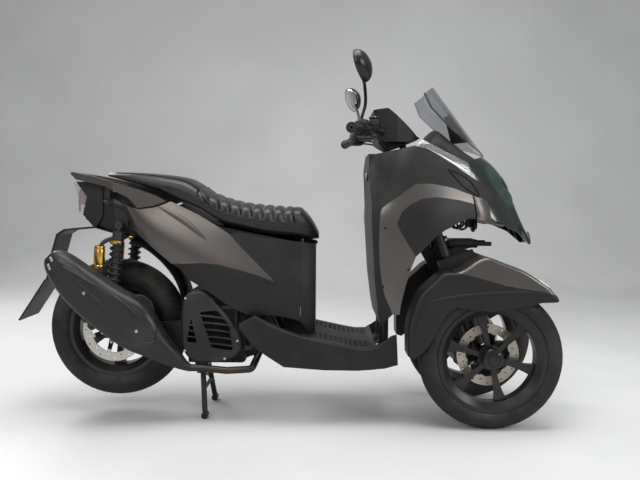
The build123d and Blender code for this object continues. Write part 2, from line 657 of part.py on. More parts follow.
def muffler_form(grown=0.0):
    """The muffler's body through rounded sections, grown by a wall on all sides."""
    stations = []
    last = len(MUFFLER) - 1
    for i, (x, z) in enumerate(MUFFLER):
        (xa, za), (xb, zb) = MUFFLER[max(i - 1, 0)], MUFFLER[min(i + 1, last)]
        along = Vector(xb - xa, 0, zb - za) if i else Vector(-1, 0, 0)
        y = PIPE_Y + (MUFFLER_Y - PIPE_Y) * min(i / 4, 1)
        wide, high = MUFFLER_WIDE[i], MUFFLER_HIGH[i]
        corner = min(wide, high) * (MUFFLER_CORNER if i > 1 else 0.98)
        plane = Plane(origin=(x, y, z), x_dir=(0, 1, 0), z_dir=along)
        stations.append((plane, wide + grown, high + grown, corner + grown))
    return tapered(stations)


def muffler():
    return muffler_form()


def muffler_shield():
    """The heat shield on the muffler's outer side, which follows its form."""
    face = make_face(Spline(*SHIELD, periodic=True))
    outer_side = raised(side_plane(MUFFLER_Y - 28) * face, (0, -1, 0), 60)
    return (muffler_form(SHIELD_T) - muffler_form(SEAT_PLAY)) & outer_side


def exhaust_pipe():
    """The pipe from the cylinder, under the engine's right side, into the muffler."""
    return bent_rod([(REAR_X + 545, -62 - SEAT_PLAY, 262), (REAR_X + 545, -100, 262), (REAR_X + 515, PIPE_Y, 196),
                     (REAR_X + 425, PIPE_Y, 190), (REAR_X + 335, PIPE_Y, MUFFLER[0][1]),
                     (MUFFLER[0][0] + SEAT_PLAY, PIPE_Y, MUFFLER[0][1])], 18, PIPE_R)


RADIATOR = rear((281, 462), (323, 476), (361, 461), (429, 381), (473, 320), (482, 280),
             (460, 240), (410, 220), (355, 216), (299, 222), (268, 265), (264, 349),
             (269, 420))
RADIATOR_OUT = ENGINE_RIGHT - 62.0
LOUVRES = 5
LOUVRE_STEP = 36.0


def radiator_cover():
    """The hollow cover over the radiator, with a row of slanting louvres."""
    solid = moulded(RADIATOR, ENGINE_RIGHT - SEAT_PLAY, RADIATOR_OUT, 12)
    solid -= moulded(inset(RADIATOR, COVER_T), ENGINE_RIGHT + SEAT_PLAY, RADIATOR_OUT + COVER_T,
                     12 - COVER_T)
    for k in range(LOUVRES):
        x, low, high = REAR_X + 295 + LOUVRE_STEP * k, 270 + 4 * k, 345 + 8 * k
        solid -= slab([(x, low), (x + 10, low), (x + 34, high), (x + 22, high)],
                      RADIATOR_OUT - 10, RADIATOR_OUT + 10)
    return solid


def coolant_hose():
    return bent_rod([(REAR_X + 483, -130, 262), (REAR_X + 507, -125, 262), (REAR_X + 520, -90, 300),
                     (REAR_X + 520, -62 - SEAT_PLAY, 300)], 12, 9)


LEVER_Y = ENGINE_LEFT + SEAT_PLAY + CASE_W + 15.0


def centre_stand():
    """A tube on the pivot pin, two splayed legs with feet, a brace and a foot lever."""
    x, z = STAND_PIVOT
    solid = cross_bar(x, z, -STAND_HALF, STAND_HALF, STAND_R)
    for side in (1, -1):
        foot = (REAR_X + 339, side * 116, 12)
        solid += rod((x, side * 58, z), foot, 10)
        solid += cross_bar(REAR_X + 339, 12, side * 100, side * 132, 12)
    solid += rod((REAR_X + 329, -85, 95), (REAR_X + 329, 85, 95), 7)
    lever = [(REAR_X + 329, 88, 100), (REAR_X + 275, LEVER_Y, 108), (REAR_X + 155, LEVER_Y, 124)]
    solid += bent_rod(lever, 15, 7)
    return solid - cross_bar(x, z, -STAND_HALF - 1, STAND_HALF + 1, STAND_PIN_R + PIN_PLAY)


SIDE_PIVOT = Vector(REAR_X + 595, 140, 226)
SIDE_TILT = 25.0              # the side stand's plane leans out by this much


def side_plane_of_stand():
    """Across the side stand's pivot bolt: local x rearwards, local z out along the bolt."""
    out = Vector(0, cos(radians(SIDE_TILT)), sin(radians(SIDE_TILT)))
    return Plane(origin=SIDE_PIVOT, x_dir=(-1, 0, 0), z_dir=out)


def side_stand():
    """The side stand, folded back along the left side."""
    plane = side_plane_of_stand()
    solid = extrude(plane * Circle(13), amount=8)
    solid += extrude(plane * Pos(100, 0) * Rectangle(200, 15), amount=8)
    foot = Polyline((185, 18), (215, 10), (222, -12), (190, -12), close=True)
    solid += raised(plane * make_face(foot), tuple(plane.z_dir), 8)
    return solid - extrude(plane * Circle(5 + PIN_PLAY), amount=20, both=True)


def side_bracket():
    """The bolt and lug that carry the side stand."""
    plane = side_plane_of_stand()
    lug = extrude(plane * Circle(13), amount=-8 - SEAT_PLAY)
    lug -= extrude(plane * Circle(20), amount=SEAT_PLAY, both=True)
    lug += rod((REAR_X + 595, FLOOR_TUBE_Y + 4, FLOOR_TUBE_Z), (REAR_X + 595, 134, 223), 8)
    return lug + extrude(plane * Circle(5), amount=-6) + extrude(plane * Circle(5), amount=11)


# ------------------------------------------------------------------ front body
COWL = [
    (FRONT_X - 429, [(0, 340), (190, 340), (214, 400), (226, 500), (230, 600), (226, 740), (190, 850),
               (128, 950), (0, 960)]),
    (FRONT_X - 325, [(0, 340), (200, 340), (232, 400), (242, 500), (247, 600), (246, 760), (218, 870),
               (158, 985), (0, 1000)]),
    (FRONT_X - 255, [(0, 340), (205, 340), (236, 400), (244, 500), (248, 600), (243, 770), (216, 860),
               (166, 1005), (0, 1022)]),
    (FRONT_X - 165, [(0, 340), (190, 340), (215, 420), (224, 530), (228, 650), (220, 780), (196, 850),
               (150, 985), (0, 1030)]),
    (FRONT_X - 75, [(0, 340), (165, 340), (180, 460), (186, 580), (190, 700), (184, 780), (160, 850),
               (112, 960), (0, 1000)]),
    (FRONT_X + 17, [(0, 340), (130, 340), (142, 470), (148, 600), (150, 715), (140, 770), (115, 835),
               (62, 925), (0, 942)]),
    (FRONT_X + 95, [(0, 340), (88, 340), (98, 460), (104, 580), (106, 690), (96, 735), (74, 790),
               (32, 832), (0, 838)]),
    (FRONT_X + 175, [(0, 340), (40, 340), (46, 430), (50, 540), (52, 638), (46, 655), (36, 668),
               (16, 680), (0, 682)]),
]
INNER_LINE = front((-425, 960), (-429, 902), (-420, 772), (-421, 725), (-414, 620), (-407, 514), (-393, 398),
               (-386, 360))
LEG_BRONZE = front((-385, 769), (-366, 784), (-347, 796), (-272, 851), (-216, 853), (-140, 839), (-48, 807),
               (-44, 779), (-120, 797), (-196, 806), (-249, 800), (-290, 781), (-320, 754),
               (-335, 716), (-326, 694), (-298, 647), (-270, 604), (-281, 577), (-293, 541), (-304, 501),
               (-313, 462), (-319, 434), (-322, 402), (-345, 402), (-374, 469), (-383, 505), (-391, 560),
               (-396, 639), (-395, 717), (-391, 756))
INSERT = front((-270, 604), (-298, 647), (-326, 694), (-335, 716), (-320, 754), (-290, 781), (-249, 800),
           (-196, 806), (-120, 797), (-44, 779), (-60, 731), (-83, 733), (-121, 718), (-160, 699),
           (-199, 675), (-242, 631))
SIDE_BLACK = front((-391, 756), (-385, 769), (-366, 784), (-347, 796), (-272, 851), (-216, 853), (-140, 839),
               (-48, 807), (17, 790), (17, 830), (-60, 874), (-115, 908), (-215, 969),
               (-273, 984), (-324, 972), (-399, 960), (-407, 900), (-403, 800))
LAMPS = front((-273, 984), (-243, 1007), (-154, 962), (-76, 928), (-60, 874), (-115, 908), (-215, 969))
NOSE = front((-60, 731), (-44, 779), (-48, 807), (17, 790), (17, 830), (-60, 874), (-76, 928),
         (-25, 950), (17, 960), (195, 700), (180, 640), (165, 636), (120, 678), (26, 722))
HEADLIGHT = front((-13, 900), (17, 942), (65, 905), (133, 769), (75, 775), (27, 835))


def band(line, thick, y_a, y_b):
    """A wall along a side view line, thick towards the front."""
    return slab(line + [(x + thick, z) for x, z in reversed(line)], y_a, y_b)


SHIELD_RIM = [*INNER_LINE, *front((-380, 362), (-345, 402), (-374, 469), (-383, 505), (-391, 560), (-396, 639),
                              (-395, 717), (-391, 756), (-403, 800), (-407, 900), (-399, 960))]
ARCH_LINE = front((-345, 402), (-333, 436), (-321, 470), (-312, 501), (-299, 541), (-286, 577), (-274, 604),
              (-253, 630))


def windscreen():
    """A bent clear sheet, cut to shape."""
    low, high = front((10, 950))[0], front((-186, 1208))[0]
    up = Vector(high[0] - low[0], 0, high[1] - low[1])
    plane = Plane(origin=(low[0], 0, low[1]), x_dir=(0, 1, 0), z_dir=up)
    outer, inner = 175.0, 171.0
    sheet = extrude(plane * Pos(0, outer) * (Circle(outer) - Circle(inner)),
                    amount=up.length)
    half = [(0, 955), (90, 985), (128, 1050), (140, 1120), (128, 1180), (80, 1206), (0, 1208)]
    face = make_face(Polyline(*whole_section(half), close=True))
    plan = Plane((FRONT_X - 325, 0, 0), x_dir=(0, 1, 0), z_dir=(1, 0, 0))
    return sheet & raised(plan * face, (1, 0, 0), 450)


# ------------------------------------------------------------------ floor
FLOOR = [*rear((471, 344)), *rear((471, 360), (527, 391), (583, 361)), *rear((629, 340)),
         *rear((685, 321)), *front((-581, 303), (-512, 288), (-456, 278), (-414, 279), (-372, 307),
                           (-349, 326), (-326, 333), (-320, 220), (-370, 206), (-464, 199),
                           (-581, 200)), *rear((629, 210), (577, 243), (526, 278))]
FLOOR_HALF = 210.0
FLOOR_ROUND = 9.0


def floorboard():
    """The step-through floor with its deep side skirts."""
    solid = slab(FLOOR, -FLOOR_HALF, FLOOR_HALF)
    solid = rounded(rounded(solid, -FLOOR_HALF, FLOOR_ROUND), FLOOR_HALF, FLOOR_ROUND)
    half = FLOOR_HALF - COVER_T
    hollow = slab(inset(FLOOR, COVER_T), -half, half)
    hollow = rounded(rounded(hollow, -half, FLOOR_ROUND - COVER_T), half, FLOOR_ROUND - COVER_T)
    solid -= hollow
    solid -= box(FRONT_X - 399, FRONT_X - 305, -FLOOR_HALF + COVER_T, FLOOR_HALF - COVER_T, 150, 450)
    solid -= box(REAR_X + 325, REAR_X + 721, -178, 178, 150, 450)
    solid -= box(REAR_X + 715, FRONT_X - 305, -150, 150, 150, 240)
    for side in (1, -1):
        rib_y = side * (FLOOR_TUBE_Y - 8), side * (FLOOR_TUBE_Y + 8)
        for x_from, top in ((FRONT_X - 575, 300), (FRONT_X - 513, 286), (FRONT_X - 449, 276.5)):
            solid += box(x_from, x_from + 6, min(rib_y), max(rib_y),
                         FLOOR_TUBE_Z + RAIL_R + SEAT_PLAY, top)
    return solid


def undercover():
    return slab([*rear((725, 203)), *front((-581, 203), (-464, 202), (-384, 206), (-384, 212), (-464, 208),
                                    (-581, 209)), *rear((725, 209))], -150 + SEAM, 150 - SEAM)


# ------------------------------------------------------------------ rear body
BODY = [
    (REAR_X + 737, [(0, 300), (105, 300), (128, 380), (132, 500), (122, 600), (105, 690), (0, 700)]),
    (REAR_X + 685, [(0, 300), (135, 300), (158, 390), (166, 500), (150, 600), (132, 690), (0, 700)]),
    (REAR_X + 585, [(0, 300), (150, 300), (172, 400), (188, 510), (172, 600), (146, 690), (0, 700)]),
    (REAR_X + 445, [(0, 300), (155, 300), (180, 430), (194, 540), (184, 620), (150, 740), (0, 750)]),
    (REAR_X + 325, [(0, 380), (150, 380), (176, 490), (192, 590), (182, 680), (148, 780), (0, 790)]),
    (REAR_X + 225, [(0, 450), (140, 450), (168, 560), (184, 650), (174, 730), (140, 830), (0, 840)]),
    (REAR_X + 125, [(0, 560), (125, 560), (150, 650), (164, 720), (155, 780), (125, 870), (0, 880)]),
    (REAR_X - 35, [(0, 700), (90, 700), (110, 745), (122, 780), (118, 810), (100, 890), (0, 900)]),
]
BRONZE = rear((-23, 790), (118, 757), (181, 766), (229, 786), (326, 741), (402, 696),
           (437, 673), (478, 628), (533, 573), (582, 524), (596, 507), (535, 530), (467, 550),
           (398, 567), (329, 573), (232, 567), (150, 634), (68, 703), (3, 747))
DARK_SIDE = rear((596, 507), (582, 524), (533, 573), (478, 628), (437, 673), (474, 679),
              (546, 661), (685, 646), (685, 362), (674, 368), (627, 380), (579, 387), (546, 386),
              (501, 386), (432, 421), (363, 470), (294, 511), (260, 552), (231, 567),
              (329, 573), (398, 567), (467, 550), (535, 530))
FRONT_FACE = rear((685, 646), (718, 640), (745, 636), (745, 318), (720, 318), (685, 362))


SEAT_LOW = rear((-15, 872), (7, 868), (119, 837), (186, 816), (257, 777), (329, 749),
             (383, 713), (412, 699), (474, 685), (546, 667), (618, 658), (720, 648))
SEAT_NOSE = rear((749, 650), (752, 658), (744, 684), (728, 714), (705, 744), (682, 766))
SEAT_TOP = rear((682, 766), (625, 771), (510, 780), (434, 794), (375, 813), (321, 841), (280, 866),
             (225, 879), (74, 891), (-15, 894))
SEAT_PLAN = rear((752, 40), (725, 78), (625, 125), (475, 150), (225, 152), (65, 132), (-15, 100))
HINGE = rear((737, 638))[0]
HINGE_R = 4.0
SEAT_ROUND = 18.0


def seat():
    """The saddle, a lid hinged at its nose: a curved top with rounded shoulders."""
    side = make_face(Spline(*SEAT_NOSE) + Spline(*SEAT_TOP)
                     + Polyline(SEAT_TOP[-1], *SEAT_LOW, SEAT_NOSE[0]))
    solid = raised(side_plane(200) * side, (0, -1, 0), 400)
    right = [(x, -y) for x, y in reversed(SEAT_PLAN)]
    plan = closed_face(Spline(*SEAT_PLAN), Line(SEAT_PLAN[-1], right[0]), Spline(*right))
    solid &= raised(Plane.XY.offset(500) * plan, (0, 0, 1), 500)
    solid = fillet(solid.edges().sort_by(SortBy.LENGTH)[-2:], SEAT_ROUND)
    solid += slab(rear((725, 660), (729, 632), (745, 632), (747, 660)), -10, 10)
    return solid - cross_bar(*HINGE, -12, 12, HINGE_R + PIN_PLAY)


def seat_hinge():
    """Two ears and the pin that the seat turns on."""
    ears = None
    for side in (1, -1):
        ear = slab(rear((680.1, 590), (682.9, 632), (715, 640), (735, 644), (745, 638), (739, 628),
                     (715, 600)), side * 11, side * 17)
        ears = ear if ears is None else ears + ear
    return ears + cross_bar(*HINGE, -17, 17, HINGE_R)


TUB_HALF = 108.0
TUB = rear((375, 700), (390, 520), (515, 500), (555, 440), (670, 440), (683, 640))


def luggage_tub():
    """The open box under the seat, with its rim just below the seat's base."""
    outer = slab(TUB, -TUB_HALF, TUB_HALF)
    inner = slab(inset(TUB, COVER_T), -TUB_HALF + COVER_T, TUB_HALF - COVER_T)
    opening = slab(rear((378, 690), (378, 740), (680, 700), (680, 630)),
                   -TUB_HALF + COVER_T, TUB_HALF - COVER_T)
    return outer - inner - opening


TAIL_HALF = 72.0


def tail_cover():
    """The black tail under the grab rail, between the side covers."""
    outline = rear((-135, 855), (-97, 801), (-112, 736), (-75, 692.3), (-65, 689.5), (-39, 730),
                (-39, 855))
    solid = slab(outline, -TAIL_HALF, TAIL_HALF)
    return solid - slab(rear((-115, 850), (-87, 801), (-97, 745), (-65, 715), (-47, 730),
                          (-47, 850)), -TAIL_HALF + COVER_T, TAIL_HALF - COVER_T)


def tail_light():
    return slab(rear((-149, 857), (-128, 806), (-128, 745), (-110.3, 745), (-97.4, 800.8), (-135.4, 855.3)),
                -TAIL_HALF + 2, TAIL_HALF - 2)


def grab_rail():
    """The bronze rail round the back of the seat."""
    outline = rear((-152, 882), (-145, 890), (-34, 868), (111, 828), (177, 806), (214, 786),
                (164, 768), (111, 762), (97, 780), (75, 800), (-7, 838), (-122, 862))
    plan_out = rear((225, 178), (25, 160), (-115, 120), (-153, 80))
    plan_in = rear((225, 156), (25, 136), (-75, 108), (-105, 74))
    ring = plan_slab(plan_out, 700, 950) - plan_slab(plan_in, 699, 951)
    return slab(outline, -200, 200) & ring


BLADE_TOP = rear((-251, 499))[0]
BLADE_TIP = (REAR_X - TAIL_OVERHANG, 349.0)
BLADE_T = 6.0
PLATE_HOLE_R = 3.3
PLATE_HOLE_Y = 70.0           # the two plate bolts are 140 mm apart
PLATE_HALF = 86.0


def blade_frame():
    """The mudguard blade's direction down and its outward normal, in the side view."""
    down = (Vector(*BLADE_TIP) - Vector(*BLADE_TOP)).normalized()
    return down, Vector(down.Y, -down.X)


def rear_fender():
    """The mudguard that hangs from the tail over the rear wheel."""
    line = rear((25, 664), (-75, 692), (-183, 682), (-211, 664), (-233, 590)) + [BLADE_TOP]
    return slab(line + [(x + 8, z - BLADE_T) for x, z in reversed(line)], -72, 72)


def plate_carrier():
    """The blade below the mudguard, with the number plate's two holes."""
    down, out = blade_frame()
    top, tip = Vector(*BLADE_TOP), Vector(*BLADE_TIP)
    start = top + down * SEAT_PLAY
    inner = [tip - out * BLADE_T, start - out * BLADE_T]
    solid = slab([(p.X, p.Y) for p in [start, tip] + inner], -PLATE_HALF, PLATE_HALF)
    hole = top + down * 60
    for y in (-PLATE_HOLE_Y, PLATE_HOLE_Y):
        start, end = hole + out * 5, hole - out * (BLADE_T + 5)
        solid -= rod((start.X, y, start.Y), (end.X, y, end.Y), PLATE_HOLE_R)
    return solid


# ------------------------------------------------------------------ handlebar and screen
BAR_R = 11.0
GRIP_R = 16.0
BAR_KNEE = (FRONT_X - 340, 60.0, 1035.0)
BAR_BEND = (FRONT_X - 449, 190.0, 1038.0)
GRIP_END = (FRONT_X - 497, 355.0, 1027.0)


def flip(point):
    return (point[0], -point[1], point[2])


def bar_path(radius):
    points = [GRIP_END, BAR_BEND, BAR_KNEE]
    return bent_rod(points + [flip(point) for point in reversed(points)], 25, radius)


def handlebar():
    """Stem, steering arm, clamp and the bar itself."""
    solid = steer_bar(0, 0, ARM_LOW, 1085, HEAD_STEM_R) + steering_arm(0)
    solid += box(FRONT_X - 347, FRONT_X - 293, -22, 22, 1008, 1050) + bar_path(BAR_R)
    start, end, along = grip_line()
    for side in (1, -1):
        mouth, floor = end + along, end - along * BAR_END_DEPTH
        solid -= rod((mouth.X, side * mouth.Y, mouth.Z), (floor.X, side * floor.Y, floor.Z),
                     BAR_END_R)
    return solid


BAR_END_R = 4.0
BAR_END_DEPTH = 30.0
HOUSING_FROM, HOUSING_TO = 14.0, 52.0     # along the grip's line from the bar's bend


def grip_line():
    """The left grip's straight stretch: its start, its end and the way along it."""
    start, end = Vector(*BAR_BEND), Vector(*GRIP_END)
    return start, end, (end - start).normalized()


def grips():
    start, end, along = grip_line()
    grip = rod(start + along * (HOUSING_TO + 3), end + along * 2, GRIP_R)
    grip += rod(start + along * (HOUSING_TO + 3), start + along * (HOUSING_TO + 8), GRIP_R + 4)
    grip += rod(end - along * 5, end + along * 2, GRIP_R + 2)
    grip -= rod(start, end + along * 3, BAR_R + PIN_PLAY)
    return both_sides(grip)


def levers():
    """Switch housings and levers in front of the grips."""
    start, end, along = grip_line()
    housing = rod(start + along * HOUSING_FROM, start + along * HOUSING_TO, 21)
    root = start + along * 30 + Vector(16, 0, 0)
    knee = root + Vector(34, 14, 0)
    lever = rod(root, knee, 6) + rod(knee, knee + along * 118, 5) + Pos(*knee) * Sphere(6)
    return both_sides(housing + lever - rod(start, end, BAR_R + PIN_PLAY))


BAR_COVER_HALF = 120.0
BAR_COVER_NECK = 75.0         # half width of its lower part, which turns clear of the cowl


def handlebar_cover():
    """The cowl round the middle of the bar, narrow below and wide above."""
    outline = front((-409, 1115), (-358, 1122), (-341, 1109), (-289, 1064), (-250, 1026), (-237, 1020),
                (-295, 996), (-357, 974), (-382, 993), (-395, 1009))
    solid = slab(outline, -BAR_COVER_HALF, BAR_COVER_HALF)
    solid &= plan_slab(front((-415, 92), (-395, 108), (-325, 112), (-265, 84), (-235, 50)), 900, 1200)
    for side in (1, -1):
        low, high = sorted((side * BAR_COVER_NECK, side * BAR_COVER_HALF))
        solid -= box(FRONT_X - 425, FRONT_X - 225, low, high, 900, 1003)
    solid -= bar_path(BAR_R + SEAT_PLAY) + steer_bar(0, 0, 900, 1087, HEAD_STEM_R + SEAT_PLAY)
    return solid - box(FRONT_X - 347.5, FRONT_X - 292.5, -22.5, 22.5, 940, 1050.5)


MIRROR_T = 26.0
MIRROR_ROUND = 11.0


def mirrors():
    """Stalks clamped on the bar and pointed-oval heads."""
    start, _, along = grip_line()
    foot = start + along * 33 + Vector(0, 0, 21 + 2 * SEAT_PLAY)
    head = Vector(FRONT_X - 457, 376, 1212)
    knee = foot + Vector(12, 10, 62)
    solid = rod(foot, foot + Vector(0, 0, 14), 9) + rod(foot + Vector(0, 0, 10), knee, 5.5)
    solid += Pos(*knee) * Sphere(5.5) + rod(knee, head, 5.5)
    face = Spline((-62, -6), (-46, 28), (8, 50), (48, 40), (60, 2), (34, -38), (-24, -48),
                  periodic=True)
    plane = Plane(origin=(FRONT_X - 463, 376, 1220), x_dir=(0, 1, 0), z_dir=(0.97, 0, 0.24))
    shell = extrude(make_face(face), amount=MIRROR_T)
    shell = fillet(shell.faces().sort_by(Axis.Z)[-1].edges(), MIRROR_ROUND)
    return both_sides(solid + plane * shell)


# ------------------------------------------------------------------ writing the nodes
def write_steered():
    """Everything that turns with the handlebar."""
    save("handlebar", handlebar())
    save("handlebar_cover", handlebar_cover())
    save("grips", grips())
    save("levers", levers())
    save("mirrors", mirrors())
    save("tie_rod", tie_rod())
    left_fork, left_fender, left_cap = fork(), front_fender(), fender_cap()
    save("fork_left", left_fork)
    save("fork_right", mirrored(left_fork))
    save("front_fender_left", left_fender)
    save("front_fender_right", mirrored(left_fender))
    save("fender_cap_left", left_cap)
    save("fender_cap_right", mirrored(left_cap))


def write_front_body():
    """The covers of the front, the screen and the lamps."""
    whole = lofted(COWL)
    skin = whole - lofted(COWL, COVER_T)
    left = skin & box(REAR_X, FRONT_X + 300, 0, 300, 0, 1300)
    inside = lofted(COWL, COVER_T + SEAM)
    save("leg_shield_inner", (whole & band(INNER_LINE, 4, -260, 260)) + panel(skin, SHIELD_RIM))
    save("wheel_arch_panel", inside & band(ARCH_LINE, 4, -260, 260))
    for node, outline in (("leg_shield_panels", LEG_BRONZE), ("cowl_inserts", INSERT),
                          ("cowl_side_panels", SIDE_BLACK), ("position_lamps", LAMPS)):
        save(node, both_sides(panel(left, outline)))
    save("headlight", panel(skin, HEADLIGHT))
    save("nose_cover", panel(skin, NOSE) - slab(inset(HEADLIGHT, -SEAM / 2), -300, 300))
    save("windscreen", windscreen())


def write_rear_body():
    skin = lofted(BODY) - lofted(BODY, COVER_T)
    left = skin & box(REAR_X - 100, FRONT_X, 0, 300, 0, 1300)
    bronze = panel(left, BRONZE) - box(REAR_X - 75, REAR_X + 145, -1, 104, 600, 900)
    save("side_covers", both_sides(bronze))
    save("lower_side_covers", both_sides(panel(left, DARK_SIDE)))
    save("centre_cover", panel(skin, FRONT_FACE) - box(REAR_X + 705, REAR_X + 755, -10.6, 10.6, 610, 700)
         + seat_hinge())
    save("luggage_tub", luggage_tub())
    save("tail_cover", tail_cover())
    save("tail_light", tail_light())
    save("grab_rail", grab_rail())
    save("rear_fender", rear_fender())
    save("plate_carrier", plate_carrier())
    save("seat", seat())


def write_chassis():
    save("frame_front", frame_front())
    save("frame_rear", frame_rear() + side_bracket())
    save("tilt_arms", tilt_arms())
    save("side_posts", both_sides(side_post()))
    save("floorboard", floorboard())
    save("undercover", undercover())
    save("engine_block", engine_block())
    save("cvt_case", cvt_case())
    save("swing_arm", swing_arm())
    save("rear_shocks", rear_shocks())
    save("rear_springs", rear_springs())
    save("muffler", muffler())
    save("muffler_shield", muffler_shield())
    save("exhaust_pipe", exhaust_pipe())
    save("radiator_cover", radiator_cover())
    save("coolant_hose", coolant_hose())
    save("centre_stand", centre_stand())
    save("side_stand", side_stand())


os.makedirs("parts", exist_ok=True)
for wheel_side in (1, -1):
    front_wheel(wheel_side)
rear_wheel()
write_steered()
write_front_body()
write_rear_body()
write_chassis()
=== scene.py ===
# %% [markdown]
# # Dressing a three-wheel leaning scooter
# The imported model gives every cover, tube and wheel its size and place. This script adds what the solids
# leave out: tyre tread, the quilted saddle, lamps, screws and glass, and a procedural finish on every face.
# Everything is in metres, with +X forwards, +Y to the rider's left and +Z up.

# %% Load the frame
import json
import math

import bmesh
import bpy
import numpy as np
from mathutils import Matrix, Vector
from mathutils.bvhtree import BVHTree


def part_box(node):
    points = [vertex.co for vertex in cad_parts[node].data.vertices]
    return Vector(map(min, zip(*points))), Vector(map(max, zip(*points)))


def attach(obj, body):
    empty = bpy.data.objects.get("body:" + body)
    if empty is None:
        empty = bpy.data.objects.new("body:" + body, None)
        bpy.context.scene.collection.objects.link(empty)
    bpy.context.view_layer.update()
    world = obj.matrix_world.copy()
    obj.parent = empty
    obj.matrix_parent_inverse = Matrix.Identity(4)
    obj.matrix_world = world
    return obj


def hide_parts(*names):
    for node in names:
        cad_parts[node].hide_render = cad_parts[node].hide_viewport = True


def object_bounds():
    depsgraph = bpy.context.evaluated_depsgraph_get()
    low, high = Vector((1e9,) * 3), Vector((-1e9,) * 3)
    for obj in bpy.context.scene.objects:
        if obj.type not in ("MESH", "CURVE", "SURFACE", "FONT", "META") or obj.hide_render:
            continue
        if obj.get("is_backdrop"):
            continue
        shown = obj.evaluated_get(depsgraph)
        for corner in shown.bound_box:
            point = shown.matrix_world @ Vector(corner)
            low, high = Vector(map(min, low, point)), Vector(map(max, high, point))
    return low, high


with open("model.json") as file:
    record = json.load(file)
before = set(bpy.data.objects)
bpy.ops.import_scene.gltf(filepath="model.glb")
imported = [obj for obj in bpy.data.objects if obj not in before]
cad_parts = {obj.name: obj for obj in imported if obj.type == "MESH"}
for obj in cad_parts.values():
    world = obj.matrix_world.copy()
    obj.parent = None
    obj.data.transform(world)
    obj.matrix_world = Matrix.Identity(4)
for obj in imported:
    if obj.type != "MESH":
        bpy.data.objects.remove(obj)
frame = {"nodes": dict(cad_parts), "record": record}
nodes = frame["nodes"]
SIDES = ((1, "left"), (-1, "right"))
AHEAD, LEFT, UP = (Vector(way) for way in ((1, 0, 0), (0, 1, 0), (0, 0, 1)))
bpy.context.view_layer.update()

# %% [markdown]
# The wheels' sizes come from the frame's own boxes, so the dressing follows the solids if they change. A
# wheel's centre and radius are the middle and half height of its tyre's box.

# %% Wheel centres and sizes
def wheel_of(tyre):
    """Centre, radius and width of a wheel from its tyre's box."""
    low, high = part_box(tyre)
    return (low + high) / 2, (high.z - low.z) / 2, high.y - low.y


WHEELS = {word + "_front_wheel": ["front_%s_%s" % (part, word) for part in ("tyre", "rim", "disc")]
          for _, word in SIDES}
WHEELS["rear_wheel"] = ["rear_tyre", "rear_rim", "rear_disc"]
front_axle, rear_axle = wheel_of("front_tyre_right")[0], wheel_of("rear_tyre")[0]
print("front axle", front_axle, "rear axle", rear_axle)

# %% [markdown]
# ## Shader groups
# Grain, settled dust and handling marks appear in many finishes. Each one is a node group that puts out a
# mask or a height, so a material keeps its own Principled shader and only asks the group for its pattern.

# %% Helpers that write node trees
class Tree:
    """Adds nodes to a shader tree and links them by name."""

    def __init__(self, tree):
        self.tree = tree

    def node(self, kind, **inputs):
        made = self.tree.nodes.new(kind)
        for name, value in inputs.items():
            self.put(made, name, value)
        return made

    def put(self, made, name, value):
        socket = made.inputs[int(name[1:])] if name[:1] == "_" else made.inputs[name.replace("_", " ")]
        if isinstance(value, bpy.types.NodeSocket):
            self.tree.links.new(value, socket)
        else:
            socket.default_value = value

    def use(self, shared, name, value):
        """A node that runs a shared group, with one input set."""
        made = self.node("ShaderNodeGroup")
        made.node_tree = shared
        made.inputs[name].default_value = value
        return made

    def math(self, operation, a, b=0.5):
        made = self.node("ShaderNodeMath", _0=a, _1=b)
        made.operation = operation
        return made.outputs[0]

    def ramp(self, value, low, high, out_low=0.0, out_high=1.0):
        return self.node("ShaderNodeMapRange", _0=value, _1=low, _2=high, _3=out_low, _4=out_high).outputs[0]

    def place(self):
        return self.node("ShaderNodeTexCoord").outputs["Object"]

    def noise(self, scale, detail=3.0, stretch=None):
        vector = self.place()
        if stretch:
            vector = self.node("ShaderNodeMapping", Vector=vector, Scale=stretch).outputs[0]
        return self.node("ShaderNodeTexNoise", Vector=vector, Scale=scale, Detail=detail).outputs["Fac"]

    def mix(self, factor, first, second):
        made = self.tree.nodes.new("ShaderNodeMix")
        made.data_type = "RGBA"
        for name, value in (("_0", factor), ("_6", first), ("_7", second)):
            self.put(made, name, value)
        return made.outputs[2]

    def bump(self, shader, strength, distance, height):
        made = self.node("ShaderNodeBump", Strength=strength, Distance=distance, Height=height)
        self.put(shader, "Normal", made.outputs["Normal"])


def group(name, given, value, results):
    """A shader group with one float input and the named float outputs."""
    made = bpy.data.node_groups.new(name, "ShaderNodeTree")
    made.interface.new_socket(given, in_out="INPUT", socket_type="NodeSocketFloat").default_value = value
    for label in results:
        made.interface.new_socket(label, in_out="OUTPUT", socket_type="NodeSocketFloat")
    tree = Tree(made)
    return made, tree, tree.node("NodeGroupInput").outputs[given], tree.node("NodeGroupOutput")


def new_material(name):
    """A material with its tree and its Principled shader."""
    material = bpy.data.materials.new(name)
    material.use_nodes = True
    return material, Tree(material.node_tree), material.node_tree.nodes["Principled BSDF"]


def shade(colour, share=1.0):
    """An opaque colour, darker or brighter by a share."""
    return (*(c * share for c in colour), 1.0)


print("tree helpers ready")

# %% [markdown]
# Moulded plastic shows a fine leathery grain: small cells with soft valleys. A Voronoi distance gives the
# cells and a finer noise breaks them up, which is cheaper and more even than sculpting them.

# %% Moulded grain
grain_group, tree, scale, result = group("moulded_grain", "Scale", 900.0, ["Height"])
cells = tree.node("ShaderNodeTexVoronoi", Vector=tree.place(), Scale=scale)
fine = tree.noise(scale, 2.0)
tree.put(result, "Height", tree.math("ADD", cells.outputs["Distance"], tree.math("MULTIPLY", fine, 0.6)))
print("group", grain_group.name)

# %% [markdown]
# Dust settles where a face looks up and in patches near the road. The mask multiplies the upward part of
# the normal by a cloudy noise, and a second noise lets it gather unevenly.

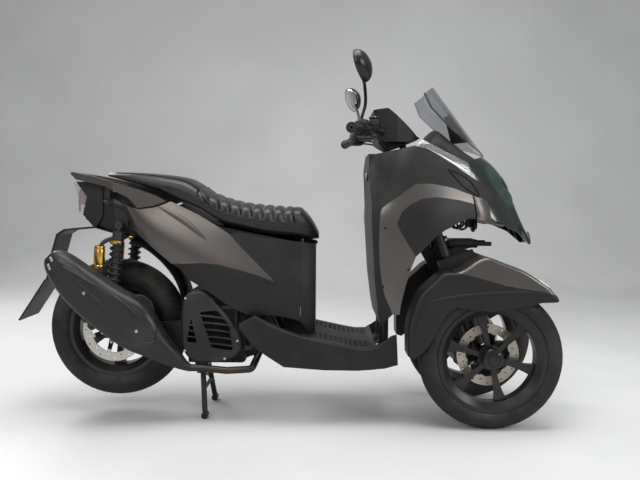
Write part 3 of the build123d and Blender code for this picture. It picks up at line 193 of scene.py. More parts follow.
# %% Settled dust
dust_group, tree, amount, result = group("settled_dust", "Amount", 0.3, ["Mask"])
normal = tree.node("ShaderNodeNewGeometry").outputs["Normal"]
upward = tree.node("ShaderNodeSeparateXYZ", Vector=normal).outputs["Z"]
facing_up = tree.ramp(upward, -0.2, 1.0, 0.15, 1.0)
cloud = tree.ramp(tree.noise(9.0, 6.0), 0.42, 0.72)
specks = tree.ramp(tree.noise(420.0, 1.0), 0.62, 0.78)
dusty = tree.math("MULTIPLY", facing_up, tree.math("ADD", cloud, tree.math("MULTIPLY", specks, 0.4)))
tree.put(result, "Mask", tree.math("MULTIPLY", dusty, amount))
print("group", dust_group.name)

# %% [markdown]
# Handling leaves faint long scratches and rubbed patches. Two stretched noises at right angles give the
# scratches; a slow one changes the gloss over the panel.

# %% Handling marks
marks_group, tree, strength, result = group("handling_marks", "Strength", 1.0, ["Gloss", "Scratch"])
tree.put(result, "Gloss", tree.math("MULTIPLY", tree.ramp(tree.noise(5.0, 5.0), 0.35, 0.7), strength))
along = tree.ramp(tree.noise(60.0, 4.0, stretch=(0.08, 1.0, 3.0)), 0.68, 0.76)
across = tree.ramp(tree.noise(70.0, 4.0, stretch=(2.5, 1.0, 0.07)), 0.7, 0.78)
tree.put(result, "Scratch", tree.math("MULTIPLY", tree.math("ADD", along, across), strength))
print("group", marks_group.name)

# %% [markdown]
# ## Finishes
# One function makes every painted or moulded finish: a base colour that drifts a little, grain in the bump,
# dust on top and marks in the roughness. Numbers that are the same all over sit on the shader's own sockets.

# %% The finish builder
DUST = (0.3, 0.28, 0.25, 1.0)
DRIFT, SPARKLE = 0.88, 1.9  # how dark the colour drifts, and how bright a metal flake is


def finish(name, colour, roughness, metallic=0.0, grain=0.0, grain_scale=900.0, dust=0.15, marks=0.5,
           coat=0.0, coat_roughness=0.1, specular=0.5, flake=0.0):
    """A painted, moulded or cast finish."""
    material, tree, shader = new_material(name)
    tone = tree.mix(tree.ramp(tree.noise(7.0, 5.0), 0.3, 0.7), shade(colour, DRIFT), shade(colour))
    if flake:
        flakes = tree.ramp(tree.noise(2600.0, 0.0), 0.6, 0.72)
        tone = tree.mix(tree.math("MULTIPLY", flakes, flake), tone, shade(colour, SPARKLE))
    wear = tree.use(marks_group, "Strength", marks)
    settled = tree.use(dust_group, "Amount", dust).outputs["Mask"]
    gloss = tree.math("ADD", tree.math("MULTIPLY", wear.outputs["Gloss"], 0.1), roughness - 0.03)
    for socket, value in (
            ("Base_Color", tree.mix(settled, tone, DUST)),
            ("Roughness", tree.math("ADD", gloss, tree.math("MULTIPLY", settled, 0.35))),
            ("Metallic", metallic), ("Coat_Weight", coat), ("Coat_Roughness", coat_roughness),
            ("Specular_IOR_Level", specular)):
        tree.put(shader, socket, value)
    height = tree.math("MULTIPLY", wear.outputs["Scratch"], -0.3)
    if grain:
        cells = tree.use(grain_group, "Scale", grain_scale)
        height = tree.math("ADD", height, tree.math("MULTIPLY", cells.outputs["Height"], grain))
    tree.bump(shader, 0.35, 0.0006, height)
    return material


print("finish builder ready")

# %% [markdown]
# The scooter's colours: a matte grey-bronze metallic on the outer panels, warm dark plastic under it, deep
# gloss on the nose, and satin blacks on wheels, tubes and exhaust.

# %% Paints, plastics and rubber
FINISHES = dict(
    matte_bronze=finish("bronze_paint", (0.112, 0.1, 0.092), 0.34, metallic=0.7, flake=0.35, dust=0.05,
                        marks=0.35, coat=0.15, coat_roughness=0.35),
    dark_cover=finish("dark_matte_cover", (0.0115, 0.0108, 0.0115), 0.5, specular=0.32, dust=0.06,
                      grain=0.15, grain_scale=1500.0),
    black_plastic=finish("grained_plastic", (0.0095, 0.0095, 0.01), 0.56, specular=0.3, grain=0.55,
                         dust=0.1),
    gloss_dark=finish("gloss_nose", (0.005, 0.009, 0.0068), 0.14, dust=0.02, marks=0.25, coat=1.0,
                      coat_roughness=0.04),
    frame_black=finish("painted_tube", (0.008, 0.008, 0.0085), 0.42, specular=0.35, dust=0.25),
    stand_black=finish("worn_stand_paint", (0.009, 0.0088, 0.0088), 0.5, specular=0.35, dust=0.35, marks=1.0),
    arm_grey=finish("cast_grey_paint", (0.018, 0.018, 0.019), 0.45, metallic=0.2, specular=0.35, grain=0.3,
                    grain_scale=500.0, dust=0.2),
    engine_alloy=finish("sooty_engine", (0.013, 0.013, 0.0135), 0.6, metallic=0.2, specular=0.3, grain=0.6,
                        grain_scale=380.0, dust=0.35),
    case_alloy=finish("painted_case", (0.02, 0.0195, 0.02), 0.5, metallic=0.3, specular=0.35, grain=0.5,
                      grain_scale=420.0, dust=0.3),
    muffler_black=finish("heatproof_paint", (0.012, 0.0118, 0.0122), 0.45, specular=0.38, dust=0.12,
                         marks=0.7, grain=0.2),
    shield_dark=finish("satin_shield", (0.016, 0.0152, 0.0158), 0.38, specular=0.42, dust=0.08, marks=0.8),
    wheel_black=finish("satin_alloy_paint", (0.0085, 0.0085, 0.009), 0.3, specular=0.42, dust=0.08,
                       marks=0.3),
    mirror_black=finish("mirror_shell", (0.009, 0.009, 0.0095), 0.32, specular=0.4, dust=0.05, marks=0.3),
    hose_rubber=finish("hose", (0.018, 0.018, 0.018), 0.5, dust=0.2),
    damper=finish("damper_paint", (0.02, 0.02, 0.021), 0.35),
    tub_plastic=finish("tub_plastic", (0.022, 0.022, 0.022), 0.6, grain=0.4, dust=0.1),
    tyre_rubber=finish("tyre_rubber", (0.0155, 0.0142, 0.0135), 0.74, grain=0.3, grain_scale=700.0, dust=0.35,
                       marks=0.4, specular=0.3),
    rubber_black=finish("grip_rubber", (0.012, 0.012, 0.012), 0.66, grain=0.4, dust=0.08, specular=0.35),
    seat_cover=finish("saddle_vinyl", (0.0105, 0.0098, 0.0105), 0.4, grain=0.7, grain_scale=620.0, dust=0.06,
                      marks=0.6),
    white_reflex=finish("white_reflector", (0.62, 0.62, 0.6), 0.25, coat=0.8, dust=0.02))
print("painted finishes", len(FINISHES))

# %% [markdown]
# Ground and brushed steel: fine rings on the discs, heat tints on the pipe, bright zinc on the screws. The
# rings are a sine of the distance from the axle, and inside CARRIER the disc is a dark carrier.

# %% Bare metals
CARRIER = (0.0735, 0.0745)


def metal(name, colour, roughness, rings=None, tint=None, rust=0.0):
    """Bare metal, with turned rings about an axle or a cloudy heat tint."""
    material, tree, shader = new_material(name)
    tone = shade(colour)
    if tint:
        tone = tree.mix(tree.ramp(tree.noise(14.0, 5.0), 0.35, 0.7), tone, shade(tint))
    if rust:
        spots = tree.math("MULTIPLY", tree.ramp(tree.noise(55.0, 6.0), 0.58, 0.7), rust)
        tone = tree.mix(spots, tone, (0.16, 0.06, 0.025, 1.0))
    tone = tree.mix(tree.math("MULTIPLY", tree.noise(30.0, 4.0), 0.25), tone, shade(colour, 0.55))
    if rings is not None:
        centred = tree.node("ShaderNodeMapping", Vector=tree.place(), Location=(-rings.x, 0.0, -rings.z))
        flat = tree.node("ShaderNodeMapping", Vector=centred.outputs[0], Scale=(1.0, 0.0, 1.0))
        length = tree.node("ShaderNodeVectorMath", _0=flat.outputs[0])
        length.operation = "LENGTH"
        away = length.outputs["Value"]
        tone = tree.mix(tree.ramp(away, *CARRIER), (0.012, 0.012, 0.012, 1.0), tone)
        tree.bump(shader, 0.25, 0.0002, tree.math("SINE", tree.math("MULTIPLY", away, 9000.0)))
    tree.put(shader, "Metallic", 1.0)
    tree.put(shader, "Base_Color", tone)
    tree.put(shader, "Roughness",
             tree.ramp(tree.noise(45.0, 4.0), 0.3, 0.7, roughness - 0.06, roughness + 0.08))
    return material


FINISHES.update(
    disc_front=metal("front_disc_steel", (0.5, 0.45, 0.39), 0.34, rings=front_axle),
    disc_rear=metal("rear_disc_steel", (0.58, 0.55, 0.51), 0.3, rings=rear_axle),
    pipe_steel=metal("heated_pipe", (0.045, 0.042, 0.04), 0.4, tint=(0.075, 0.055, 0.042), rust=0.25),
    zinc=metal("zinc_screws", (0.55, 0.55, 0.56), 0.32),
    gold=metal("gold_anodising", (0.8, 0.48, 0.1), 0.28),
    reflector=metal("lamp_reflector", (0.8, 0.8, 0.8), 0.12),
    mirror_glass=metal("mirror_silver", (0.82, 0.84, 0.85), 0.04))
print("finishes with the metals", len(FINISHES))

# %% [markdown]
# Lenses and the screen are clear or smoked plastic, and the headlamp lens carries a painted green reflection
# in its colour. They keep a plain transmission, so that light passes, and a faint cloud in the roughness
# stands for the haze of age.

# %% Lenses and the screen
def clear(name, colour, roughness, transmission):
    """Clear or tinted plastic."""
    material, tree, shader = new_material(name)
    tree.put(shader, "Base_Color",
             tree.mix(tree.ramp(tree.noise(6.0, 4.0), 0.3, 0.7), shade(colour, 0.8), shade(colour)))
    tree.put(shader, "Roughness", tree.ramp(tree.noise(12.0, 5.0), 0.35, 0.75, roughness, roughness + 0.05))
    tree.put(shader, "Transmission_Weight", transmission)
    tree.put(shader, "IOR", 1.49)
    return material


FINISHES.update(
    smoked_screen=clear("smoked_screen", (0.6, 0.61, 0.64), 0.01, 0.96),
    # The headlamp lens is dark and clear; its green tint is a painted reflection.
    headlamp_lens=clear("dark_lens_painted_green_reflection", (0.16, 0.26, 0.21), 0.02, 0.85),
    lamp_lens=clear("clear_lens", (0.86, 0.88, 0.9), 0.03, 0.85),
    tail_lens=clear("tail_lens", (0.86, 0.86, 0.86), 0.04, 0.75),
    red_lens=clear("red_lens", (0.6, 0.02, 0.02), 0.06, 0.5),
    amber_lens=clear("amber_lens", (0.9, 0.34, 0.03), 0.06, 0.6))
print("all finishes", len(FINISHES))

# %% [markdown]
# Each CAD node keeps its shape and gets the finish that the real piece has. The record says which material
# slot a node uses, so most of the assignment follows from the record; a few nodes need their own.

# %% Finish every CAD node
OWN_FINISH = {"front_disc_left": "disc_front", "front_disc_right": "disc_front", "rear_disc": "disc_rear",
              "tail_light": "tail_lens"}
slots = {entry["node"]: entry.get("material_slot") for entry in frame["record"]["subparts"]}
for name, item in nodes.items():
    key = OWN_FINISH.get(name) or slots.get(name)
    if key not in FINISHES:
        print("no finish of its own:", name, key)
    item.data.materials.clear()
    item.data.materials.append(FINISHES.get(key) or FINISHES["black_plastic"])
print("finished nodes", len(nodes))

# %% [markdown]
# ## Making meshes
# Most added pieces are closed surfaces swept through rings of points. One helper turns a grid of points
# into a mesh, closed round its rings or at its ends, with smooth faces and outward normals.

# %% Mesh helpers
def circle(count):
    """The cosine and sine of each of count equal steps round a circle."""
    return [(math.cos(2 * math.pi * k / count), math.sin(2 * math.pi * k / count)) for k in range(count)]


def shares(count):
    """The count + 1 even shares from 0 to 1."""
    return [k / count for k in range(count + 1)]


def signed(value, power):
    """A value raised to a power with its sign kept."""
    return math.copysign(abs(value) ** power, value)


def closed_mesh(name, points, faces, sharp):
    """A mesh with doubles merged, normals outwards, smooth faces and edges past an angle left sharp."""
    mesh = bpy.data.meshes.new(name)
    mesh.from_pydata([tuple(p) for p in points], [], faces)
    work = bmesh.new()
    work.from_mesh(mesh)
    bmesh.ops.remove_doubles(work, verts=work.verts, dist=1e-6)
    bmesh.ops.recalc_face_normals(work, faces=work.faces)
    work.to_mesh(mesh)
    work.free()
    for face in mesh.polygons:
        face.use_smooth = True
    mesh.set_sharp_from_angle(angle=math.radians(sharp))
    return mesh


def linked(name, data):
    """An object in the scene."""
    made = bpy.data.objects.new(name, data)
    bpy.context.scene.collection.objects.link(made)
    return made


def riding(name, mesh, paint, body):
    """An object of this mesh with one finish, which rides on a body."""
    made = linked(name, mesh)
    if not mesh.materials:
        mesh.materials.append(FINISHES[paint])
    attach(made, body)
    return made


def plain_mesh(source):
    """The evaluated mesh of a temporary object, which is then removed."""
    bpy.context.view_layer.update()
    mesh = bpy.data.meshes.new_from_object(source.evaluated_get(bpy.context.evaluated_depsgraph_get()))
    bpy.data.objects.remove(source)
    return mesh


def grid_faces(rows, columns, close_rows=False, close_columns=True, cap=True):
    """Quads over a grid of rows x columns points, closed round either way, with capped ends."""
    faces = []
    for i in range(rows if close_rows else rows - 1):
        for j in range(columns if close_columns else columns - 1):
            a, b, k = i * columns + j, i * columns + (j + 1) % columns, (i + 1) % rows
            faces.append((a, b, k * columns + (j + 1) % columns, k * columns + j))
    if cap:
        faces.append(tuple(range(columns)))
        faces.append(tuple(reversed(range((rows - 1) * columns, rows * columns))))
    return faces


def lofted(name, rings, paint, body="frame", sharp=50, **ends):
    """A surface through closed rings of equally many points, with its ends capped unless told otherwise."""
    faces = grid_faces(len(rings), len(rings[0]), **ends)
    return riding(name, closed_mesh(name, [p for ring in rings for p in ring], faces, sharp), paint, body)


def swept(name, path, radius, paint, body="frame", sides=12, up=UP, flat=1.0):
    """A round or flattened bar along a list of points, with capped ends."""
    path = [Vector(p) for p in path]
    rings = []
    for i, p in enumerate(path):
        way = (path[min(i + 1, len(path) - 1)] - path[max(i - 1, 0)]).normalized()
        side = way.cross(Vector(up)).normalized()
        top = side.cross(way).normalized()
        r = radius[i] if isinstance(radius, (list, tuple)) else radius
        rings.append([p + side * (r * c) + top * (r * flat * s) for c, s in circle(sides)])
    return lofted(name, rings, paint, body, sharp=40)


def smooth_path(points, steps=10):
    """A Catmull-Rom curve through the points."""
    points = [Vector(p) for p in points]
    out = []
    for i in range(len(points) - 1):
        a, b = points[max(i - 1, 0)], points[i]
        c, d = points[i + 1], points[min(i + 2, len(points) - 1)]
        for t in (s / steps for s in range(steps)):
            out.append(0.5 * (2 * b + (c - a) * t + (2 * a - 5 * b + 4 * c - d) * t * t
                              + (3 * b - a - 3 * c + d) * t ** 3))
    return out + [points[-1]]


def pillow(name, centre, half, paint, body="frame", turn=(0, 0, 0), power=0.45):
    """A closed rounded box: a superellipsoid of the given half sizes, turned by angles in degrees."""
    spin = Matrix.Identity(3)
    for angle, axis in zip(turn, "XYZ"):
        spin = Matrix.Rotation(math.radians(angle), 3, axis) @ spin
    rings = []
    for up in (-math.pi / 2 + math.pi * (i + 0.5) / 22 for i in range(22)):
        reach, height = abs(math.cos(up)) ** power, half[2] * signed(math.sin(up), power)
        rings.append([Vector(centre) + spin @ Vector((half[0] * reach * signed(c, power),
                                                      half[1] * reach * signed(s, power), height))
                      for c, s in circle(36)])
    return lofted(name, rings, paint, body)


print("mesh helpers ready")

# %% [markdown]
# Small parts must sit on the covers, not near them. A ray from outside finds the first face of the named
# CAD nodes, so screws, ridges and lamp parts follow the solid's real surface.

# %% Surface readers
SURFACES = {}


def surface(name):
    """The search tree of one CAD node's faces."""
    if name not in SURFACES:
        mesh = nodes[name].data
        SURFACES[name] = BVHTree.FromPolygons([v.co for v in mesh.vertices],
                                              [tuple(p.vertices) for p in mesh.polygons])
    return SURFACES[name]


def hit(names, origin, way):
    """The first point and normal that a ray meets on any of the nodes, or None."""
    met = [surface(name).ray_cast(Vector(origin), Vector(way)) for name in names]
    met = [found for found in met if found[0] is not None]
    return min(met, key=lambda found: found[3])[:2] if met else None


def from_side(names, x, z, side):
    """A point on the outer face of the nodes at this length and height, seen from one side."""
    return hit(names, (x, side * 1.0, z), (0, -side, 0))


def spots_on(names, spots, side, sunk=0.0):
    """Where (x, z) spots meet the nodes from one side, each with the outward direction."""
    found = [from_side(names, x, z, side) for x, z in spots]
    return [(f[0] - Vector((0, side * sunk, 0)), (0, side, 0)) for f in found if f]


print("surface readers ready")

# %% [markdown]
# ## Tyres
# A real scooter tyre has a round crown with slanted water grooves that run from near the middle out to the
# shoulder, mirrored left and right. The tyre is one grid about the axle; a formula lowers the points that
# lie in a groove, so the tread is real geometry and the sidewall can carry a raised ring.

# %% Tread formula and tyres
TREAD_TURNS, TREAD_ROWS = 640, 74
GROOVE_DEPTH, RIB_HEIGHT = 0.0032, 0.0006
FRONT_BEAD, REAR_BEAD = 0.1775, 0.1645
FRONT_PITCHES, REAR_PITCHES = 30, 26


def tread_depth(turn, across, pitches):
    """How far a point is below the crown: across runs from -1 to 1 over the tread."""
    side = abs(across)
    place = (turn * pitches / (2 * math.pi) - 0.9 * side + (0.5 if across < 0 else 0.0)) % 1.0
    if 0.45 < side < 0.9 and 0.5 < place < 0.6:
        return 0.8 * GROOVE_DEPTH
    return GROOVE_DEPTH if 0.14 < side < 0.93 and place < 0.13 + 0.05 * side else 0.0


def tyre_outline(bead, radius, width):
    """Radius and offset at even steps over the tyre, from one bead to the other."""
    seat, wall = width * 0.31, radius - bead
    half = [(bead, seat), (bead + 0.004, seat + 0.005), (bead + 0.009, seat + 0.007)]
    half += [(bead + wall * up, width * out) for up, out in ((0.22, 0.462), (0.38, 0.497), (0.55, 0.493))]
    half += [(radius - width * drop, width * out) for drop, out in (
        (0.3, 0.468), (0.19, 0.405), (0.11, 0.328), (0.055, 0.24), (0.022, 0.15), (0.004, 0.07), (0.0, 0.0))]
    curve = smooth_path([(r, -w, 0.0) for r, w in half] + [(r, w, 0.0) for r, w in half[-2::-1]], 12)
    lengths = np.cumsum([0.0] + [(b - a).length for a, b in zip(curve, curve[1:])])
    rows = np.linspace(0.0, lengths[-1], TREAD_ROWS)
    return list(zip(*(np.interp(rows, lengths, [p[axis] for p in curve]) for axis in (0, 1))))


def tyre_mesh(cad_node, body, bead, pitches):
    """A tyre with tread grooves and a ribbed sidewall round one wheel's axle."""
    centre, radius, width = wheel_of(cad_node)
    outline = tyre_outline(bead, radius, width)
    rings = []
    for k, (c, s) in enumerate(circle(TREAD_TURNS)):
        turn, ring = 2 * math.pi * k / TREAD_TURNS, []
        for r, w in outline:
            rib = RIB_HEIGHT if 0.42 < (r - bead) / (radius - bead) < 0.47 else 0.0
            out = r - (tread_depth(turn, w / (width * 0.46), pitches) if r > radius - width * 0.3 else 0.0)
            ring.append((centre.x + out * c, centre.y + w + math.copysign(rib, w), centre.z + out * s))
        rings.append(ring)
    made = lofted("tread_" + cad_node, rings, "tyre_rubber", body, sharp=35, close_rows=True, cap=False)
    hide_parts(cad_node)
    print(made.name, "faces", len(made.data.polygons))


for body, (tyre, rim, disc) in WHEELS.items():
    rear = body == "rear_wheel"
    tyre_mesh(tyre, body, REAR_BEAD if rear else FRONT_BEAD, REAR_PITCHES if rear else FRONT_PITCHES)

# %% [markdown]
# ## The saddle
# The seat is foam under stitched vinyl. Its outline comes from the CAD seat: at each place along the length
# the solid's own width, top and bottom are measured, then a crowned section is drawn inside them.

# %% Measure the CAD seat
SEAT_STEPS, SEAT_ROUND_STEPS = 300, 96
PROBE_Y = 0.03  # the side outline is read a little off the middle


def seat_size(x):
    """Top, bottom and half width of the CAD seat at x, with a gap where a ray misses."""
    down, up = hit(["seat"], (x, PROBE_Y, 2.0), -UP), hit(["seat"], (x, PROBE_Y, 0.0), UP)
    side = hit(["seat"], (x, 1.0, (down[0].z + up[0].z) / 2 - 0.006), -LEFT) if down and up else None
    return [down[0].z if down else np.nan, up[0].z if up else np.nan, side[0].y if side else np.nan]


def filled(values):
    """A measured row with its gaps filled from their neighbours."""
    good = ~np.isnan(values)
    return np.interp(np.arange(len(values)), np.flatnonzero(good), values[good])


seat_low, seat_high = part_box("seat")
seat_x = np.linspace(seat_low.x + 0.002, seat_high.x - 0.004, SEAT_STEPS)
seat_top, seat_bottom, seat_half = (filled(row) for row in np.array([seat_size(x) for x in seat_x]).T)
seat_half = np.convolve(np.pad(seat_half, 2, mode="edge"), np.ones(5) / 5, "valid")
print("seat measured at", len(seat_x), "places")

# %% [markdown]
# The saddle's top follows two laws: a crown that falls away towards the edges, and rolls that follow the
# length. The rolls run only under the rider, from behind the nose to the foot of the passenger's step;
# between two rolls the cover is sewn down, so the section sinks there and pulls in. It is a formula and not
# a cloth run, because rolls that are sewn at even steps come out even.

# %% Build the saddle
ROLLS, ROLL_DEPTH = 9, 0.013
ROLLS_FROM, ROLLS_TO = 0.435, 0.885  # where the rolls lie, as shares of the length from the tail
ROLL_FOOT = 0.1  # where the rolls end on the flank, as a share of half the thickness
SEAM_AT = 0.8  # where the passenger's seam runs, as a share of the half width
CROWN_DROP = 0.008
WIDE_POWER, TALL_POWER = 0.42, 0.52  # how square the section is


def roll_dip(share):
    """How far the cover sinks between two rolls at this share of the length."""
    if not ROLLS_FROM < share < ROLLS_TO:
        return 0.0
    phase = (share - ROLLS_FROM) / (ROLLS_TO - ROLLS_FROM) * ROLLS
    return ROLL_DEPTH * (1.0 - abs(math.sin(math.pi * phase)) ** 0.45)


def saddle_section(i):
    """Points round the saddle at one place along it."""
    share = i / (SEAT_STEPS - 1)
    middle, thick = (seat_top[i] + seat_bottom[i] + 0.001) / 2, (seat_top[i] - seat_bottom[i] - 0.001) / 2
    end = min(1.0, share / 0.05) ** 0.5 * min(1.0, (1 - share) / 0.02) ** 0.5
    ring = []
    for c, s in circle(SEAT_ROUND_STEPS):
        wide, tall = signed(c, WIDE_POWER), signed(s, TALL_POWER)
        y = seat_half[i] * (0.86 + 0.14 * end) * wide
        z = middle + thick * tall * (1.0 if tall < 0 else 0.97 + 0.03 * end)
        if tall > 0:
            sunk = roll_dip(share) * min(1.0, max(0.0, (tall - ROLL_FOOT) / 0.16))
            z -= CROWN_DROP * wide ** 2 + sunk * (0.25 + 0.75 * tall ** 3)
            y -= math.copysign(sunk * abs(wide) ** 5 * 0.75, y)
            if share < ROLLS_FROM:
                z -= 0.003 * math.exp(-((abs(wide) - SEAM_AT) / 0.03) ** 2)
        else:
            y -= math.copysign(0.003 * math.exp(-((tall + 0.25) / 0.3) ** 2), y)
        ring.append((seat_x[i], y, z))
    return ring


saddle = lofted("saddle", [saddle_section(i) for i in range(SEAT_STEPS)], "seat_cover", "seat", sharp=70)
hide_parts("seat")
print("saddle faces", len(saddle.data.polygons))

# %% [markdown]
# Piping covers the seams: a thin welt round the quilted field, down at the step, along the rolls' foot and
# up at the nose, and another along each side of the passenger's part. Each is a bar swept over the cover.

# %% Piping
def on_saddle(share, wide, tall):
    """A point on the saddle's cover, from shares of the half width and of half the thickness."""
    i = int(share * (SEAT_STEPS - 1))
    middle, thick = (seat_top[i] + seat_bottom[i] + 0.001) / 2, (seat_top[i] - seat_bottom[i] - 0.001) / 2
    drop = CROWN_DROP * wide ** 2 if tall > 0 else 0.0
    return Vector((seat_x[i], seat_half[i] * wide, middle + thick * tall - drop))


def beside(share, power, other):
    """The second share of a section's point, where the first, drawn with power, is known."""
    return math.sqrt(max(0.0, 1 - abs(share) ** (2 / power))) ** other


field = [(ROLLS_FROM + 0.085 * t, 0.97 - (0.97 - ROLL_FOOT) * t) for t in shares(12)]
field += [(ROLLS_FROM + 0.085 + (ROLLS_TO - ROLLS_FROM - 0.075) * t, ROLL_FOOT) for t in shares(46)[1:-1]]
field += [(ROLLS_TO + 0.012 - 0.02 * t, ROLL_FOOT + (0.96 - ROLL_FOOT) * t) for t in shares(10)]
border = [on_saddle(share, beside(tall, TALL_POWER, WIDE_POWER), tall) for share, tall in field]
seam_tall = beside(SEAM_AT, WIDE_POWER, TALL_POWER)
for side, word in SIDES:
    swept("quilt_piping_" + word, [(p.x, side * (p.y + 0.0012), p.z) for p in border], 0.0024, "seat_cover",
          "seat", sides=8)
    seam = [on_saddle(0.05 + (ROLLS_FROM - 0.05) * t, side * SEAM_AT, seam_tall) for t in shares(70)]
    swept("saddle_piping_" + word, seam, 0.002, "seat_cover", "seat", sides=8)
print("piping points", len(border))

# %% [markdown]
# ## Repeats with Geometry Nodes
# One tree places a small closed solid on every point of a carrier mesh, turned along the direction stored
# on it. Screws, disc bolts, floor pads and fins all use it with their own carrier and solid.

# %% The placing tree
def placing_tree(name):
    """Geometry Nodes: instances of an object on points, turned to the stored direction, made real."""
    tree = bpy.data.node_groups.new(name, "GeometryNodeTree")
    for label, kind in (("Geometry", "Geometry"), ("Shape", "Object"), ("Size", "Float"),
                        ("Finish", "Material")):
        tree.interface.new_socket(label, in_out="INPUT", socket_type="NodeSocket" + kind)
    tree.interface.new_socket("Geometry", in_out="OUTPUT", socket_type="NodeSocketGeometry")
    add, join = tree.nodes.new, tree.links.new
    given, result = add("NodeGroupInput").outputs, add("NodeGroupOutput")
    shape, direction = add("GeometryNodeObjectInfo"), add("GeometryNodeInputNamedAttribute")
    turn, place = add("FunctionNodeAlignRotationToVector"), add("GeometryNodeInstanceOnPoints")
    real, paint = add("GeometryNodeRealizeInstances"), add("GeometryNodeSetMaterial")
    shape.inputs["As Instance"].default_value = True
    direction.data_type, turn.axis = "FLOAT_VECTOR", "Z"
    direction.inputs["Name"].default_value = "direction"
    for source, target in (
            (given["Shape"], shape.inputs["Object"]), (shape.outputs["Geometry"], place.inputs["Instance"]),
            (direction.outputs[0], turn.inputs["Vector"]), (turn.outputs[0], place.inputs["Rotation"]),
            (given["Geometry"], place.inputs["Points"]), (given["Size"], place.inputs["Scale"]),
            (place.outputs[0], real.inputs[0]), (real.outputs[0], paint.inputs["Geometry"]),
            (given["Finish"], paint.inputs["Material"]), (paint.outputs[0], result.inputs[0])):
        join(source, target)
    return tree


PLACING = placing_tree("place_on_points")
PLACING_INPUTS = {s.name: s.identifier for s in PLACING.interface.items_tree if s.in_out == "INPUT"}


def placed(name, places, shape, paint="zinc", body="frame", size=1.0):
    """Copies of a shape at (point, direction) places, as one plain mesh that rides on a body."""
    if not places:
        print("no places for", name)
        return None
    mesh = bpy.data.meshes.new(name)
    mesh.from_pydata([tuple(p) for p, _ in places], [], [])
    stored = mesh.attributes.new("direction", "FLOAT_VECTOR", "POINT")
    for kept, (_, way) in zip(stored.data, places):
        kept.vector = tuple(Vector(way).normalized())
    carrier = linked(name + "_points", mesh)
    modifier = carrier.modifiers.new("place", "NODES")
    modifier.node_group = PLACING
    for label, value in (("Shape", shape), ("Size", size), ("Finish", FINISHES[paint])):
        modifier[PLACING_INPUTS[label]] = value
    return riding(name, plain_mesh(carrier), paint, body)


print("placing inputs", list(PLACING_INPUTS))

# %% [markdown]
# The shapes to repeat are turned profiles: a cap screw with a recess, a flanged hex bolt, a domed cover
# screw. They are built once at the origin and kept out of the picture.

# %% Fasteners to repeat
def lathe(name, profile, sides=20, socket=0.0):
    """A closed turned solid about Z from (radius, height) points, with a recess if socket is its depth."""
    top = profile[-1][1]
    profile = profile + ([(socket * 1.2, top), (socket * 1.2, top - socket)] if socket else [])
    points = [(r * c, r * s, z) for r, z in profile for c, s in circle(sides)]
    return bpy.data.objects.new(name, closed_mesh(name, points, grid_faces(len(profile), sides), 35))


CAP_SCREW = lathe("cap_screw", [(0.0045, 0.0), (0.0046, 0.0042), (0.0041, 0.005)], 24, socket=0.0022)
HEX_BOLT = lathe("hex_bolt", [(0.0075, 0.0), (0.0075, 0.0012), (0.0055, 0.0014), (0.0055, 0.0058),
                              (0.0048, 0.0066)], 6)
DOME_SCREW = lathe("dome_screw", [(0.0052, 0.0), (0.005, 0.0012), (0.0036, 0.0024)], socket=0.0012)
print("fasteners ready")

# %% [markdown]
# ## Wheels
# Each rim has a valve and bolts that hold the disc. The bolts sit on the disc carrier's inner side, and
# they turn with the wheel, because they ride on its body.

# %% Wheel details
BOLT_CIRCLE, VALVE_TURN = 0.046, 1.0
for body, (tyre, rim, disc) in WHEELS.items():
    centre = wheel_of(tyre)[0]
    side = 1 if centre.y > 0.01 else -1
    inner = -1 if body == "rear_wheel" else -side
    face_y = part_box(disc)[1 if inner > 0 else 0].y - inner * 0.0002
    turns = [math.radians(15 + 60 * k) for k in range(6)]
    placed("disc_bolts_" + body, [((centre.x + BOLT_CIRCLE * math.cos(a), face_y,
                                    centre.z + BOLT_CIRCLE * math.sin(a)), (0, inner, 0)) for a in turns],
           HEX_BOLT, "zinc", body, 0.75)
    foot, tip = (centre + Vector((math.cos(VALVE_TURN) * r, side * y, math.sin(VALVE_TURN) * r))
                 for r, y in ((0.152, 0.012), (0.128, 0.022)))
    swept("valve_" + body, [foot, foot.lerp(tip, 0.5), tip], [0.005, 0.0042, 0.0036], "rubber_black", body,
          up=LEFT)
print("wheels dressed", len(WHEELS))

# %% [markdown]
# ## Side covers, fenders and muffler
# The real covers carry creases that catch the light. Each is a low ridge that follows the cover along a few
# chosen points, most of it sunk into the surface. The same points serve both sides, and a tapered ridge
# thins out at its ends, as a crease in sheet or moulding does.

# %% Creases on covers and fenders
FENDER_CREASE = [(0.5, 0.452), (0.6, 0.47), (0.715, 0.481), (0.82, 0.485), (0.905, 0.482)]
FENDER_BACK = [(0.452, 0.34), (0.468, 0.4), (0.5, 0.452)]
SIDE_CREASE = [(-0.47, 0.78), (-0.4, 0.748), (-0.34, 0.712), (-0.27, 0.655)]
COWL_SEAM = [(0.437, 0.94), (0.446, 0.9), (0.454, 0.86)]


def ridge(name, names, outline, side, radius, paint, body="frame", sink=0.3, flat=1.0, taper=False):
    """A raised line that follows the covers along (x, z) points; sink is the share left inside."""
    path = [from_side(names, p.x, p.z, side) for p in smooth_path([(x, 0.0, z) for x, z in outline], 14)]
    path = [found[0] for found in path if found]
    last = len(path) - 1
    if last < 3:
        print("ridge without a surface:", name)
        return
    radii = [radius] * (last + 1)
    if taper:
        radii = [radius * max(0.12, math.sin(math.pi * i / last)) ** 0.6 for i in range(last + 1)]
    for p, r in zip(path, radii):
        p.y += side * r * flat * (1 - 2 * sink)
    swept(name, path, radii, paint, body, sides=10, up=LEFT, flat=flat)


